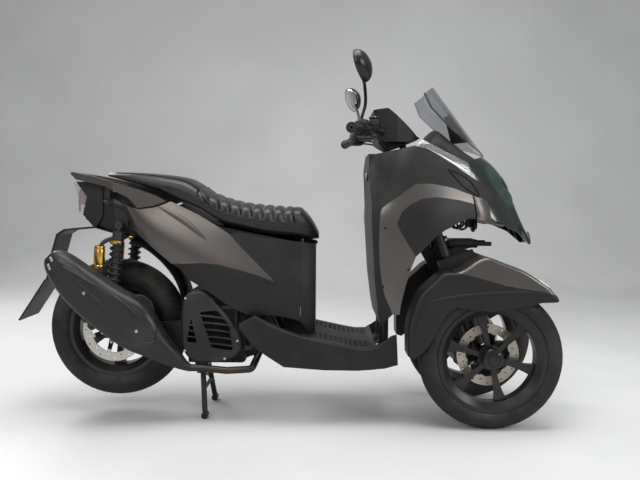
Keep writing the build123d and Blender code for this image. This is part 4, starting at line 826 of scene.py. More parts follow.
for side, word in SIDES:
    fender, fork = ["front_fender_" + word, "fender_cap_" + word], word + "_fork"
    ridge("fender_crease_" + word, fender, FENDER_CREASE, side, 0.006, "dark_cover", fork, 0.35, 0.45, True)
    ridge("fender_fold_" + word, fender[:1], FENDER_BACK, side, 0.0026, "dark_cover", fork, 0.35, 0.8)
    ridge("side_crease_" + word, ["side_covers"], SIDE_CREASE, side, 0.0125, "matte_bronze",
          sink=0.32, flat=0.2, taper=True)
    ridge("cowl_seam_" + word, ["cowl_side_panels"], COWL_SEAM, side, 0.0011, "black_plastic", sink=0.45)
    found = hit(fender, (0.893, side * 0.205, 1.0), -UP)
    if found:
        slope = math.degrees(math.atan2(found[1].x, found[1].z))
        pillow("fender_reflex_" + word, found[0] + Vector((0, side * 0.012, -0.0005)), (0.024, 0.033, 0.0048),
               "white_reflex", fork, turn=(0, slope, 0), power=0.5)
print("creases made")

# %% [markdown]
# The muffler's heat shield has two pressed creases and a rolled foot, held by two screws, and the end cap
# carries two bright slots. All of them are read off the right side of the solids.

# %% Muffler dress
MUFFLER = ["muffler_shield", "muffler"]
SHIELD_LINES = (  # piece, radius, share sunk, flatness, (x, z) points
    ("crease_upper", 0.0032, 0.4, 0.7, [(-0.745, 0.564), (-0.675, 0.523), (-0.546, 0.445), (-0.43, 0.336)]),
    ("crease_lower", 0.0032, 0.4, 0.7, [(-0.712, 0.533), (-0.66, 0.478), (-0.598, 0.419), (-0.505, 0.305)]),
    ("foot", 0.0036, 0.35, 1.0, [(-0.5, 0.296), (-0.474, 0.3), (-0.44, 0.305), (-0.418, 0.316)]))
for part, radius, sink, flat, outline in SHIELD_LINES:
    ridge("shield_" + part, MUFFLER, outline, -1, radius, "shield_dark", sink=sink, flat=flat)
placed("shield_screws", spots_on(MUFFLER, ((-0.672, 0.473), (-0.494, 0.344)), -1), CAP_SCREW, size=1.25)
for number, (x, z, slope) in enumerate(((-0.786, 0.584, 60), (-0.794, 0.56, 66))):
    found = from_side(MUFFLER, x, z, -1)
    if found:
        pillow("end_slot_%d" % number, found[0] + Vector((0, 0.001, 0)), (0.012, 0.003, 0.0045), "zinc",
               turn=(0, slope, 0))
print("muffler dressed")

# %% [markdown]
# The muffler hangs from a cast lug with a three-cornered window and one bolt. A filled 2-D curve makes such
# a plate: its inner splines are the holes, and its bevel rounds every edge at once.

# %% Plates with holes, and the muffler's lug
LUG = [(-0.56, 0.44), (-0.535, 0.458), (-0.49, 0.455), (-0.462, 0.43), (-0.452, 0.385), (-0.47, 0.35),
       (-0.53, 0.4)]
WINDOW = [(-0.528, 0.441), (-0.497, 0.441), (-0.474, 0.424), (-0.472, 0.398)]


def rounded_outline(points, radius, steps=5):
    """A closed outline with its corners rounded."""
    out, count = [], len(points)
    for i in range(count):
        before, here, after = (Vector(points[k % count]) for k in (i - 1, i, i + 1))
        back, ahead = before - here, after - here
        cut = min(radius, back.length / 2, ahead.length / 2)
        a, b = here + back.normalized() * cut, here + ahead.normalized() * cut
        out += [(1 - t) ** 2 * a + 2 * t * (1 - t) * here + t * t * b for t in shares(steps)]
    return out


def plate(name, outlines, y_low, y_high, paint, bevel=0.0012):
    """A flat XZ plate between two y values: its outline, then its holes, with bevelled edges."""
    curve = bpy.data.curves.new(name, "CURVE")
    curve.dimensions, curve.fill_mode = "2D", "BOTH"
    curve.extrude, curve.offset = max(0.0, (y_high - y_low) / 2 - bevel), -bevel
    curve.bevel_depth, curve.bevel_resolution = bevel, 2
    for outline in outlines:
        line = curve.splines.new("POLY")
        line.points.add(len(outline) - 1)
        for point, (x, z) in zip(line.points, outline):
            point.co = (x, z, 0.0, 1.0)
        line.use_cyclic_u = True
    mesh = plain_mesh(linked(name + "_curve", curve))
    mesh.transform(Matrix.Translation((0, (y_low + y_high) / 2, 0)) @ Matrix.Rotation(math.pi / 2, 4, "X"))
    mesh.set_sharp_from_angle(angle=math.radians(35))
    return riding(name, mesh, paint, "frame")


plate("muffler_lug", [rounded_outline(LUG, 0.012), rounded_outline(WINDOW, 0.006)], -0.176, -0.162,
      "arm_grey", bevel=0.002)
placed("lug_bolt", [((-0.493, -0.172, 0.429), -LEFT)], HEX_BOLT, size=1.2)
print("lug made")

# %% [markdown]
# ## Radiator cover
# The cover is an open moulding: a deep skirt, a face with a large window behind five slats and a small
# three-barred window, and the radiator's fins behind. It replaces the solid and keeps its outline.

# %% Radiator skirt and face
COVER = [(-0.344, 0.462), (-0.302, 0.476), (-0.264, 0.461), (-0.196, 0.381), (-0.152, 0.32), (-0.143, 0.28),
         (-0.165, 0.24), (-0.215, 0.22), (-0.27, 0.216), (-0.326, 0.222), (-0.357, 0.265), (-0.361, 0.349),
         (-0.356, 0.42)]
MAIN_WINDOW = [(-0.293, 0.398), (-0.232, 0.404), (-0.19, 0.35), (-0.176, 0.262), (-0.252, 0.272),
               (-0.266, 0.318)]
SMALL_WINDOW = [(-0.324, 0.376), (-0.304, 0.288), (-0.339, 0.292)]
COVER_OUT, COVER_IN = -0.1795, -0.1185


def inset(outline, distance):
    """An outline moved inwards along its corner normals."""
    out, count = [], len(outline)
    middle = sum(outline, Vector((0, 0))) / count
    for i, p in enumerate(outline):
        along = (outline[(i + 1) % count] - outline[i - 1]).normalized()
        normal = Vector((along.y, -along.x))
        out.append(p + normal * (distance if normal.dot(middle - p) >= 0 else -distance))
    return out


rim_line = rounded_outline(COVER, 0.022, 7)
SKIRT = ((0.0, COVER_IN), (0.0, COVER_OUT + 0.01), (0.001, COVER_OUT + 0.0045), (0.004, COVER_OUT + 0.001),
         (0.0085, COVER_OUT), (0.0085, COVER_OUT + 0.003), (0.0035, COVER_OUT + 0.008), (0.003, COVER_IN))
cover_parts = [
    lofted("radiator_skirt", [[(p.x, y, p.y) for p in inset(rim_line, distance)] for distance, y in SKIRT],
           "case_alloy", cap=False),
    plate("radiator_face", [inset(rim_line, 0.0075), rounded_outline(MAIN_WINDOW, 0.01),
                            rounded_outline(SMALL_WINDOW, 0.007)],
          COVER_OUT, COVER_OUT + 0.0035, "case_alloy")]
print("skirt rings", len(SKIRT))

# %% [markdown]
# Each slat runs across its window, so its ends are found where a level line leaves the window's outline.
# The fins behind are thin rods that the placing tree repeats.

# %% Slats, bars, fins and screws
def edge_x(outline, z, pick):
    """Where a level line leaves an outline, at the side that pick (min or max) chooses."""
    pairs = zip(outline, outline[1:] + outline[:1])
    return pick(x1 + (x2 - x1) * (z - z1) / (z2 - z1) for (x1, z1), (x2, z2) in pairs
                if (z1 - z) * (z2 - z) <= 0 and z1 != z2)


for k in range(5):
    z = 0.385 - 0.0245 * k
    left, right = edge_x(MAIN_WINDOW, z, min), edge_x(MAIN_WINDOW, z - 0.01, max)
    path = [(left - 0.004, COVER_OUT + 0.004, z), ((left + right) / 2, COVER_OUT + 0.001, z - 0.003),
            (right + 0.004, COVER_OUT + 0.004, z - 0.01)]
    cover_parts.append(swept("radiator_slat_%d" % k, smooth_path(path, 8), 0.0036, "case_alloy", sides=10,
                             up=LEFT, flat=1.9))
for k in range(3):
    z = 0.352 - 0.021 * k
    path = [(edge_x(SMALL_WINDOW, z, min) - 0.003, COVER_OUT + 0.003, z + 0.002),
            (edge_x(SMALL_WINDOW, z, max) + 0.003, COVER_OUT + 0.003, z - 0.002)]
    cover_parts.append(swept("radiator_bar_%d" % k, path, 0.0026, "case_alloy", sides=8, up=LEFT, flat=1.5))
for made in cover_parts:
    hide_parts("radiator_cover")
FIN = lathe("radiator_fin", [(0.0011, 0.0), (0.0011, 0.15)], 4)
placed("radiator_fins", [((-0.296 + 0.0042 * k, -0.158, 0.256), UP) for k in range(30)], FIN, "shield_dark")
pillow("radiator_core", (-0.235, -0.145, 0.33), (0.072, 0.01, 0.085), "engine_alloy", power=0.2)
placed("radiator_screws", [((x, COVER_OUT, z), -LEFT) for x, z in (
    (-0.342, 0.447), (-0.345, 0.262), (-0.16, 0.298), (-0.205, 0.234))], CAP_SCREW)
print("radiator cover pieces", len(cover_parts))

# %% [markdown]
# ## Handlebar, mirrors and switches
# Switch housings sit inboard of the grips, a brake reservoir on each, and cables run from them into the
# neck. Everything here is measured along the bar, so it stays on the bar and turns with the steering.

# %% Switches, reservoirs and cables
BAR_START = Vector((0.276, 0.19, 1.038))
BAR_ALONG = Vector((-0.278759, 0.958234, -0.063882))
BAR_HEADING = 16.2
CONTROLS = (  # piece, distance along the bar, offset, half size, finish, corner power
    ("switch_housing_", 0.022, (0.0, 0.0, 0.001), (0.0245, 0.027, 0.0265), "black_plastic", 0.4),
    ("switch_block_", 0.02, (0.004, 0.0, 0.02), (0.0165, 0.02, 0.012), "dark_cover", 0.4),
    ("brake_reservoir_", -0.012, (0.036, 0.0, 0.022), (0.0175, 0.024, 0.0145), "case_alloy", 0.35),
    ("reservoir_lid_", -0.012, (0.036, 0.0, 0.0375), (0.0185, 0.025, 0.003), "dark_cover", 0.35),
    ("rocker_switch_", 0.022, (-0.0245, 0.0, 0.004), (0.0035, 0.009, 0.0055), "case_alloy", 0.5),
    ("button_", 0.022, (-0.0245, 0.0, -0.011), (0.003, 0.007, 0.0045), "button", 0.6))


def on_bar(distance, side, offset=(0.0, 0.0, 0.0)):
    """A point along one end of the bar, measured outwards from the neck's side."""
    p = BAR_START + BAR_ALONG * distance + Vector(offset)
    return Vector((p.x, side * p.y, p.z))


for side, word in SIDES:
    for part, distance, offset, half, paint, power in CONTROLS:
        if paint == "button":
            paint = "shield_dark" if side > 0 else "red_lens"
        pillow(part + word, on_bar(distance, side, offset), half, paint, "steering",
               turn=(0, 0, side * BAR_HEADING), power=power)
    placed("lid_screws_" + word, [(on_bar(-0.012, side, (0.036, d, 0.0402)), UP) for d in (-0.017, 0.017)],
           DOME_SCREW, "zinc", "steering", 0.7)
    for number, (rise, spread) in enumerate(((0.006, 0.0), (-0.008, 0.014))):
        cable = [on_bar(0.012 - spread, side, (0.016, 0.0, rise - 0.012)),
                 on_bar(-0.03 - spread, side, (0.04, 0.0, rise - 0.022)),
                 (0.345, side * (0.125 - spread), 1.004 + rise), (0.362, side * (0.1 - spread), 0.992 + rise)]
        swept("bar_cable_%s_%d" % (word, number), smooth_path(cable), 0.0034, "hose_rubber", "steering",
              sides=10)
print("bar controls made")

# %% [markdown]
# The mirrors are pointed ovals, toed in towards the rider, each a domed shell with a rim, a glass, a bent
# stalk and a rounded foot. Every ring is the same outline, scaled and moved forwards, so that the shell's
# dome and the glass share one shape. They replace the plain solid mirrors.

# %% Mirrors with glass
MIRROR_OUTLINE = [(-0.06, -0.004), (-0.05, 0.022), (-0.02, 0.043), (0.014, 0.049), (0.043, 0.039),
                  (0.058, 0.008), (0.046, -0.022), (0.014, -0.046), (-0.016, -0.052), (-0.044, -0.036)]
MIRROR_CENTRE = (0.252, 0.374, 1.218)
MIRROR_DEPTH, MIRROR_TOE, MIRROR_TILT = 0.034, 20.0, -13
RIM = ((0.93, 0.0012), (0.955, -0.0008), (0.99, -0.0006), (1.0, 0.002))
GLASS = ((0.925, 0.001), (0.925, -0.0002), (0.9, -0.001))


def mirror_rings(sections, side):
    """The mirror's outline, scaled and moved in front of the glass, for each (scale, depth)."""
    closed = MIRROR_OUTLINE + MIRROR_OUTLINE[:3]
    smooth = smooth_path([(w, h, 0) for w, h in closed], 8)[8:8 + 8 * len(MIRROR_OUTLINE)]
    turn = Matrix.Rotation(math.radians(side * MIRROR_TOE), 3, "Z") \
        @ Matrix.Rotation(math.radians(MIRROR_TILT), 3, "Y")
    centre = Vector((MIRROR_CENTRE[0], side * MIRROR_CENTRE[1], MIRROR_CENTRE[2]))
    return [[centre + turn @ Vector((depth, side * p.x * scale, p.y * scale)) for p in smooth]
            for scale, depth in sections]


mirror_pieces = []
for side, word in SIDES:
    dome = [(math.sqrt(max(0.004, 1 - t ** 2.2)), 0.002 + MIRROR_DEPTH * t) for t in shares(14)[1:]]
    foot = on_bar(0.033, side, (0, 0, 0.021))
    stalk = [foot + Vector((x, side * y, z)) for x, y, z in (
        (0, 0, 0), (0.001, 0, 0.02), (0.012, 0.01, 0.062), (0.006, 0.07, 0.108))]
    stalk.append((0.262, side * 0.352, 1.192))
    mirror_pieces += [
        lofted("mirror_shell_" + word, mirror_rings([*RIM, *dome], side), "mirror_black", "steering"),
        lofted("mirror_glass_" + word, mirror_rings(GLASS, side), "mirror_glass", "steering"),
        swept("mirror_stalk_" + word, smooth_path(stalk), 0.0056, "mirror_black", "steering", sides=14,
              up=AHEAD),
        pillow("mirror_foot_" + word, foot + Vector((0, 0, 0.004)), (0.011, 0.011, 0.01), "mirror_black",
               "steering", power=0.7)]
for made in mirror_pieces:
    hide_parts("mirrors")
print("mirrors made", len(mirror_pieces))

# %% [markdown]
# ## Nose, screen base and lamps
# A dark base carries the screen and closes the space behind the nose. It is an arch that changes along its
# length, so a few stations are smoothed and each gives one ring: over the arch and back just under it.

# %% Screen base
BASE_STATIONS = [(0.498, 0.118, 0.985, 1.0), (0.515, 0.14, 0.975, 1.03), (0.545, 0.15, 0.96, 1.052),
                 (0.575, 0.152, 0.945, 1.032), (0.605, 0.148, 0.93, 1.006), (0.64, 0.138, 0.915, 0.98),
                 (0.675, 0.122, 0.905, 0.958), (0.705, 0.102, 0.898, 0.942), (0.722, 0.08, 0.896, 0.932)]
rings = []
for (x, half, low), (_, _, top) in zip(smooth_path([station[:3] for station in BASE_STATIONS], 5),
                                       smooth_path([(x, 0.0, top) for x, _, _, top in BASE_STATIONS], 5)):
    arc = [(half * math.sin(a), low + (top - low) * max(0.0, math.cos(a)) ** 0.75)
           for a in np.linspace(-math.pi / 2, math.pi / 2, 33)]
    under = [(x, y * 0.97, max(low - 0.004, z - 0.006)) for y, z in arc[::-1]]
    rings.append([(x, y, z) for y, z in arc] + under)
lofted("screen_base", rings, "black_plastic", sharp=60)
print("screen base rings", len(rings))

# %% [markdown]
# Behind the foot of the screen stands a dark liner that hides the instruments from the front. It follows
# the screen's inner face, which rays from behind find row by row.

# %% Liner behind the foot of the screen
LINER_LOW, LINER_HIGH, LINER_ROWS = 0.96, 1.11, 24
liner = []
for t in shares(LINER_ROWS - 1):
    z, half = LINER_LOW + (LINER_HIGH - LINER_LOW) * t, 0.118 - 0.07 * t ** 1.5
    row = [hit(["windscreen"], (0.3, half * (2 * j / 20 - 1), z), AHEAD) for j in range(21)]
    if all(row):
        row = [(found[0].x - 0.006, found[0].y, z) for found in row]
        liner.append(row + [(x - 0.003, y, z) for x, y, z in row[::-1]])
if len(liner) > 3:
    lofted("screen_liner", liner, "black_plastic", sharp=60)
print("liner rows", len(liner))

# %% [markdown]
# A bronze fairing joins the cowl's front edge to the nose's flank. Its depth is read from both covers, and
# a smooth blend between the two keeps it flush at either end.

# %% Fairing between cowl and nose
COWL = ["leg_shield_panels", "cowl_inserts", "cowl_side_panels", "nose_cover"]
FAIRING_REAR = [(0.662, 0.812), (0.668, 0.78), (0.674, 0.745), (0.672, 0.722)]
FAIRING_FRONT = [(0.765, 0.772), (0.775, 0.748), (0.782, 0.722), (0.776, 0.702)]
for side, word in SIDES:
    rings = []
    for v in (share * 3 for share in shares(25)):
        k = min(2, int(v))
        a, b = (Vector(line[k]).lerp(Vector(line[k + 1]), v - k) for line in (FAIRING_REAR, FAIRING_FRONT))
        start = from_side(COWL, a.x - 0.004, a.y, side)
        end = from_side(["nose_cover"], b.x, b.y, side)
        y0, y1 = abs(start[0].y) if start else 0.185, abs(end[0].y) if end else 0.14
        row = []
        for u in shares(19):
            p = a.lerp(b, u)
            row.append((p.x, side * (y0 + (y1 - y0) * (u * u * (3 - 2 * u)) + 0.0025 - 0.006 * u ** 4), p.y))
        rings.append(row + [(x, y - side * 0.0035, z) for x, y, z in row[::-1]])
    lofted("nose_fairing_" + word, rings, "matte_bronze")
print("fairing rings", len(rings))

# %% [markdown]
# The cowl has a leaf-shaped intake beside the headlamp; a raised lip follows its outline on the cover.

# %% Intake lips
INTAKE = [(0.572, 0.903), (0.61, 0.89), (0.648, 0.868), (0.672, 0.838), (0.684, 0.812), (0.655, 0.826),
          (0.618, 0.852)]
for side, word in SIDES:
    ridge("intake_lip_" + word, ["cowl_side_panels", "leg_shield_panels"], INTAKE + INTAKE[:1], side, 0.0026,
          "black_plastic", sink=0.25)
print("intake points", len(INTAKE))

# %% [markdown]
# The headlamp has two projector eyes on each side: a dark bowl with a bright ring and a glass dome, set into
# the lamp's face. The position lamps hold a bright strip and an amber bulb.

# %% Headlamp eyes and position lamps
def eye(name, y, z, radius):
    """A projector whose turned parts stand along the lamp face's own normal."""
    found = hit(["headlight", "nose_cover"], (1.5, y, z), -AHEAD)
    if not found:
        print("no lamp face at", y, z)
        return
    way = found[1].normalized()
    centre, turn = found[0] - way * 0.0015, way.to_track_quat("Z", "Y").to_matrix()
    dome = [(0.92 * math.cos(a), radius * 0.22 * math.sin(a)) for a in np.linspace(0.05, 1.5, 9)]
    for part, paint, profile in (
            ("bowl", "dark_cover", [(1.28, -0.006), (1.28, 0.0012), (1.1, 0.002), (1.02, 0.0004)]),
            ("ring", "reflector", [(1.04, -0.004), (1.04, 0.0018), (0.95, 0.0018), (0.92, 0.0)]),
            ("dome", "lamp_lens", [(0.92, -0.003), *dome])):
        lofted(name + part, [[centre + turn @ Vector((radius * r * c, radius * r * s, h))
                              for c, s in circle(40)] for r, h in profile], paint, sharp=40)


for side, word in SIDES:
    eye("projector_low_%s_" % word, side * 0.042, 0.862, 0.02)
    eye("projector_high_%s_" % word, side * 0.034, 0.812, 0.015)
    strip = [(0.495 + 0.15 * t, 0.978 - 0.083 * t) for t in shares(8)]
    strip = spots_on(["position_lamps"], strip, side, sunk=0.0015)
    if len(strip) > 3:
        swept("position_strip_" + word, smooth_path([p for p, _ in strip], 6), 0.0038, "reflector", sides=10,
              up=LEFT)
        pillow("amber_bulb_" + word, strip[1][0] + Vector((0, -side * 0.001, 0.004)), (0.008, 0.004, 0.005),
               "amber_lens", power=0.8)
print("lamps dressed")

# %% [markdown]
# ## Under the nose and behind the fenders
# The locked parallelogram shows here: bolts on the arms' pivots, a brake hose and a caliper on each fork, a
# horn and a wiring loom under the nose. What sits on a fork rides on it and turns with the steering.

# %% Pivot bolts, hoses and calipers
PIVOTS = ((0.03, 0.512), (0.03, 0.632), (0.1, 0.515), (0.1, 0.655))
HOSE = ((0.64, 0.136, 0.262), (0.612, 0.134, 0.33), (0.592, 0.128, 0.42), (0.584, 0.118, 0.52),
        (0.588, 0.108, 0.6))
for side, word in SIDES:
    bolts = [hit(["tilt_arms", "side_posts"], (1.2, side * y, z), -AHEAD) for y, z in PIVOTS]
    placed("pivot_bolts_" + word, [(found[0], AHEAD) for found in bolts if found], HEX_BOLT, size=1.3)
    swept("brake_hose_" + word, smooth_path([(x, side * y, z) for x, y, z in HOSE]), 0.0036, "hose_rubber",
          word + "_fork", sides=10, up=AHEAD)
    pillow("front_caliper_" + word, (0.645, side * 0.1375, 0.232), (0.03, 0.013, 0.032), "arm_grey",
           word + "_fork", turn=(0, 35, 0), power=0.4)
    pillow("caliper_piston_" + word, (0.645, side * 0.1515, 0.232), (0.013, 0.003, 0.013), "gold",
           word + "_fork", power=0.8)
print("pivots and brakes dressed")

# %% [markdown]
# The horn is a turned shell that faces forwards; its bracket and three short loops of loom hang beside it.

# %% Horn and loom
HORN = ((0.022, 0.0), (0.026, 0.004), (0.026, 0.012), (0.018, 0.016), (0.016, 0.022), (0.006, 0.024))
lofted("horn", [[(0.7 + 0.9 * h, 0.04 + r * c, 0.702 + r * s) for c, s in circle(28)] for r, h in HORN],
       "case_alloy", sharp=30)
pillow("horn_bracket", (0.69, 0.04, 0.716), (0.014, 0.012, 0.022), "frame_black", power=0.3)
for number, y in enumerate((-0.05, 0.022, 0.064)):
    loom = [(0.65, y, 0.742), (0.668, y * 1.1, 0.706), (0.64, y * 1.2, 0.69), (0.622, y, 0.725)]
    swept("loom_%d" % number, smooth_path(loom, 8), 0.0042, "hose_rubber", sides=8, up=LEFT)
print("horn and loom made")

# %% [markdown]
# ## Tail and rear suspension
# Each rear damper has a gold reservoir beside it, joined by a short link, and gold collars at both ends of
# its spring. A bar with one radius for each point of its path turns all of these.

# %% Gold reservoirs and spring collars
RESERVOIR = ((0.0, 0.0155), (0.003, 0.0185), (0.008, 0.0192), (0.011, 0.0178), (0.014, 0.0192),
             (0.066, 0.0192), (0.07, 0.0178), (0.074, 0.0192), (0.078, 0.018), (0.08, 0.014))
TOP_COLLAR = ((-0.002, 0.0225), (0.0, 0.0255), (0.01, 0.0255), (0.012, 0.0225))
LOW_COLLAR = ((-0.006, 0.02), (-0.005, 0.0225), (0.0, 0.0225), (0.001, 0.02))


def gold_turning(name, base, way, profile):
    """A gold turning along a line, from (distance, radius) pairs."""
    swept(name, [base + way * h for h, _ in profile], [r for _, r in profile], "gold", sides=36, up=AHEAD)


low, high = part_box("rear_springs")
for side, word in SIDES:
    base, lean = Vector((-0.664, side * 0.122, 0.546)), Vector((0.05, 0, 1)).normalized()
    gold_turning("gold_reservoir_" + word, base, lean, RESERVOIR)
    link = [base + lean * 0.072, base + Vector((0.02, 0, 0.094)), (-0.606, side * 0.123, 0.655)]
    swept("reservoir_link_" + word, smooth_path(link, 8), 0.0075, "damper", up=LEFT)
    top = Vector((high.x - 0.026, side * 0.121, high.z + 0.002))
    foot = Vector((low.x + 0.026, side * 0.121, low.z - 0.004))
    way = (top - foot).normalized()
    gold_turning("spring_collar_top_" + word, top, way, TOP_COLLAR)
    gold_turning("spring_collar_low_" + word, foot, way, LOW_COLLAR)
print("rear dampers dressed")

# %% [markdown]
# A dark inner panel closes the tail between the rail and the covers, and an inner fender keeps the wheel's
# spray from the engine. Both are lofts; the fender's edges curl down towards the tyre.

# %% Inner tail and inner fender
TAIL_STATIONS = ((-0.735, 0.05, 0.715, 0.822), (-0.69, 0.062, 0.69, 0.818), (-0.64, 0.074, 0.672, 0.824),
                 (-0.58, 0.082, 0.668, 0.818), (-0.52, 0.088, 0.664, 0.794), (-0.46, 0.092, 0.66, 0.752))
HUGGER = ((-0.56, 0.652), (-0.5, 0.632), (-0.44, 0.585), (-0.39, 0.525), (-0.362, 0.462), (-0.35, 0.4))
HUGGER_HALF, HUGGER_CURL = 0.085, 0.02
rings = []
for x, half, low, high in TAIL_STATIONS:
    corners = ((-half, low), (half, low), (half * 0.92, high), (-half * 0.92, high))
    rings.append([(x, p.x, p.y) for p in rounded_outline(corners, 0.018)])
lofted("inner_tail", rings, "dark_cover")
line = smooth_path([(x, 0, z) for x, z in HUGGER], 6)
rings = []
for i, p in enumerate(line):
    way = (line[min(i + 1, len(line) - 1)] - line[max(i - 1, 0)]).normalized()
    out = Vector((way.z, 0, -way.x))
    out = -out if out.dot(Vector((-0.625, 0, 0.313)) - p) > 0 else out
    row = [p + LEFT * (HUGGER_HALF * a) - out * (HUGGER_CURL * abs(a) ** 4) for a in np.linspace(-1, 1, 15)]
    rings.append([q + out * 0.0015 for q in row] + [q - out * 0.0015 for q in row[::-1]])
lofted("inner_fender", rings, "black_plastic")
print("inner panels made")

# %% [markdown]
# Two red bulbs show through the clear tail lens, and a caliper with two bolts grips the rear disc.

# %% Tail bulbs and rear caliper
for side, word in SIDES:
    pillow("tail_bulbs_" + word, (-0.738, side * 0.046, 0.8), (0.012, 0.014, 0.03), "red_lens",
           turn=(0, -14, 0), power=0.5)
pillow("rear_caliper", (-0.705, -0.088, 0.352), (0.026, 0.015, 0.034), "arm_grey", turn=(0, -40, 0),
       power=0.4)
placed("caliper_bolts", [((x, -0.103, z), -LEFT) for x, z in ((-0.69, 0.366), (-0.72, 0.338))], HEX_BOLT)
print("tail details made")

# %% [markdown]
# ## Left side, floor and lock
# Case screws stand round the drive cover, pads give the floor its grip, and domed screws hold the covers.
# The surface readers seat each one, so none of them floats.

# %% Screws and floor pads
CASE_SPOTS = ((-0.66, 0.3), (-0.66, 0.36), (-0.56, 0.395), (-0.45, 0.402), (-0.34, 0.405), (-0.23, 0.39),
              (-0.18, 0.34), (-0.23, 0.285), (-0.34, 0.275), (-0.45, 0.27), (-0.56, 0.275))
COVER_SPOTS = ((["lower_side_covers", "side_covers", "centre_cover"],
                ((-0.33, 0.56), (0.03, 0.4), (0.02, 0.6))),
               (["leg_shield_panels", "leg_shield_inner"], ((0.345, 0.5), (0.35, 0.7), (0.43, 0.56))))
placed("case_screws", spots_on(["cvt_case"], CASE_SPOTS, 1), CAP_SCREW, size=1.1)
pads = [hit(["floorboard"], (0.06 + 0.018 * k, side * y, 0.6), -UP)
        for side, _ in SIDES for k in range(15) for y in (0.085, 0.12, 0.155)]
PAD = lathe("floor_pad", [(0.006, -0.0005), (0.006, 0.0012), (0.0048, 0.002)], 12)
placed("floor_pads", [found for found in pads if found and found[1].z > 0.9], PAD, "rubber_black")
cover_screws = [place for side, _ in SIDES for names, spots in COVER_SPOTS
                for place in spots_on(names, spots, side, sunk=0.0004)]
placed("cover_screws", cover_screws, DOME_SCREW, "dark_cover", size=0.9)
print("cover screws", len(cover_screws), "floor rays", len(pads))

# %% [markdown]
# The ignition lock is a ring and a barrel in the inner leg shield, and a dark glass covers the instruments.

# %% Lock and instrument glass
lock = hit(["leg_shield_inner"], (0.0, -0.105, 0.88), AHEAD)
if lock:
    for part, paint, radius, depth in (("ring", "case_alloy", 0.017, 0.006),
                                       ("barrel", "zinc", 0.0105, 0.008)):
        swept("lock_" + part, [lock[0] - AHEAD * d for d in (-0.003, depth - 0.001, depth)],
              [radius, radius, radius * 0.85], paint, sides=28)
display = hit(["handlebar_cover"], (0.2, 0.0, 1.075), AHEAD)
if display:
    pillow("instrument_glass", display[0] + AHEAD * 0.004, (0.006, 0.06, 0.026), "gloss_dark", "steering",
           turn=(0, -12, 0), power=0.25)
print("lock and display made")

# %% [markdown]
# A three-lobed cap closes each hub. Its edge is a circle with a soft wave of three, and a few rings of it at
# different heights give the step and the dish.

# %% Hub caps
CAP_RADIUS, CAP_WAVE = 0.036, 0.085
CAP_RINGS = ((1.0, -0.004), (1.0, 0.0035), (0.92, 0.0065), (0.62, 0.0085), (0.6, 0.006), (0.56, 0.006),
             (0.54, 0.0095), (0.3, 0.0105))
for body, (tyre, rim, disc) in WHEELS.items():
    centre, radius, width = wheel_of(tyre)
    side = -1 if centre.y < -0.01 else 1
    found = from_side([rim], centre.x + 0.02, centre.z, side)
    face = found[0].y if found else centre.y + side * width * 0.4
    rings = []
    for scale, rise in CAP_RINGS:
        ring = []
        for k, (c, s) in enumerate(circle(60)):
            wave = math.cos(3 * (2 * math.pi * k / 60) + 0.6) if scale > 0.7 else 0.0
            r = CAP_RADIUS * scale * (1 + CAP_WAVE * wave)
            ring.append((centre.x + r * c, face + side * rise, centre.z + r * s))
        rings.append(ring)
    lofted("hub_cap_" + body, rings, "wheel_black", body, sharp=35)
print("hub caps made")

# %% [markdown]
# ## The room
# A pale floor and backdrop in one bent sheet, far larger than the scooter, so that its edges stay out of
# sight from any side. Nothing here is part of the scooter.

# %% Floor and backdrop
BEND_Y, BEND_RADIUS, REACH = 3.2, 1.8, 30.0
outline = [(y, 0.0) for y in np.linspace(-REACH, BEND_Y, 40)]
outline += [(BEND_Y + BEND_RADIUS * math.sin(a), BEND_RADIUS - BEND_RADIUS * math.cos(a))
            for a in np.linspace(0.05, math.pi / 2, 24)]
outline += [(BEND_Y + BEND_RADIUS, z) for z in (3.0, 5.0, 8.0)]
mesh = bpy.data.meshes.new("backdrop")
mesh.from_pydata([(x, y, z) for y, z in outline for x in (-REACH, REACH)], [],
                 grid_faces(len(outline), 2, close_columns=False, cap=False))
for face in mesh.polygons:
    face.use_smooth = True
material, tree, shader = new_material("studio_floor")
cloud = tree.ramp(tree.noise(1.5, 5.0), 0.3, 0.7)
tree.put(shader, "Base_Color", tree.mix(cloud, (0.66, 0.66, 0.66, 1.0), (0.72, 0.72, 0.715, 1.0)))
tree.put(shader, "Roughness", 0.55)
mesh.materials.append(material)
sheet = linked("backdrop", mesh)
sheet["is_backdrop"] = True
print("backdrop faces", len(mesh.polygons))

# %% [markdown]
# Four soft panels light the scooter from above and from three sides, as in a studio. The world adds a faint
# even light, and shows the camera a brighter tone of itself than it sheds on the object.

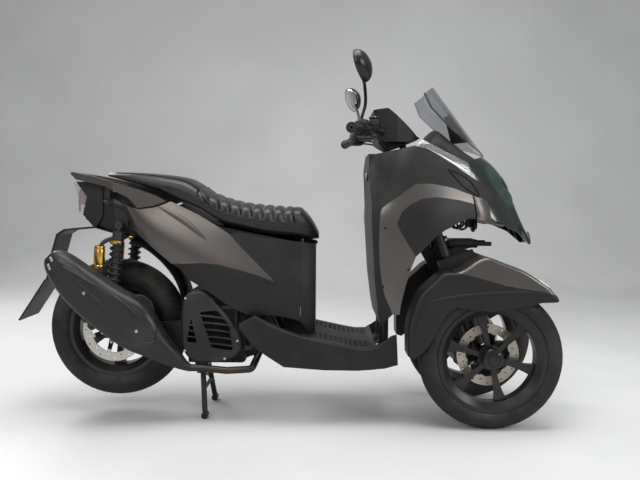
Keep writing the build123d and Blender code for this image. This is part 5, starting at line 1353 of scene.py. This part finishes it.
# %% Studio lights
for name, place, target, size, power, colour in (
        ("ceiling_panel", (0.2, -0.4, 3.6), (0.0, 0.0, 0.4), (3.0, 2.0), 112, (1.0, 1.0, 1.0)),
        ("camera_side", (-1.4, -3.6, 2.4), (0.0, 0.0, 0.55), (2.2, 1.6), 50, (1.0, 0.98, 0.96)),
        ("front_side", (3.4, -1.8, 2.0), (0.5, 0.0, 0.6), (1.6, 1.6), 55, (0.96, 0.98, 1.0)),
        ("back_side", (-2.6, 2.4, 2.6), (-0.2, 0.0, 0.6), (1.8, 1.4), 60, (1.0, 1.0, 1.0))):
    light = bpy.data.lights.new(name, "AREA")
    light.shape, light.size, light.size_y = "RECTANGLE", *size
    light.energy, light.color = power, colour
    lamp = linked(name, light)
    lamp.location = place
    lamp.rotation_euler = (Vector(target) - Vector(place)).to_track_quat("-Z", "Y").to_euler()
    lamp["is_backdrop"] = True
world = bpy.data.worlds.new("studio")
world.use_nodes = True
tree, room = Tree(world.node_tree), world.node_tree.nodes["Background"]
tree.put(room, "Color", (0.78, 0.8, 0.82, 1.0))
seen = tree.node("ShaderNodeLightPath").outputs["Is Camera Ray"]
tree.put(room, "Strength", tree.ramp(seen, 0.0, 1.0, 0.36, 0.62))
bpy.context.scene.world = world
print("lights ready")

# %% [markdown]
# The camera stands on the right-hand side at the height of the saddle and looks a little down.

# %% Camera
lens = bpy.data.cameras.new("camera")
lens.lens, lens.sensor_width = 39.0, 36.0
camera = linked("camera", lens)
aim = Matrix.Rotation(math.radians(0.3856), 4, "Z") @ Matrix.Rotation(math.radians(90 - 3.41), 4, "X") \
    @ Matrix.Rotation(math.radians(0.36), 4, "Z")
camera.matrix_world = Matrix.Translation((0.1445, -2.5932, 0.7985)) @ aim
bpy.context.scene.camera = camera
bpy.context.scene.view_settings.view_transform = "Standard"
print("camera at", tuple(round(v, 3) for v in camera.matrix_world.translation))

# %% [markdown]
# The box of the dressed scooter is measured over every shown object except the room.

# %% The dressed scooter's box
low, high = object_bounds()
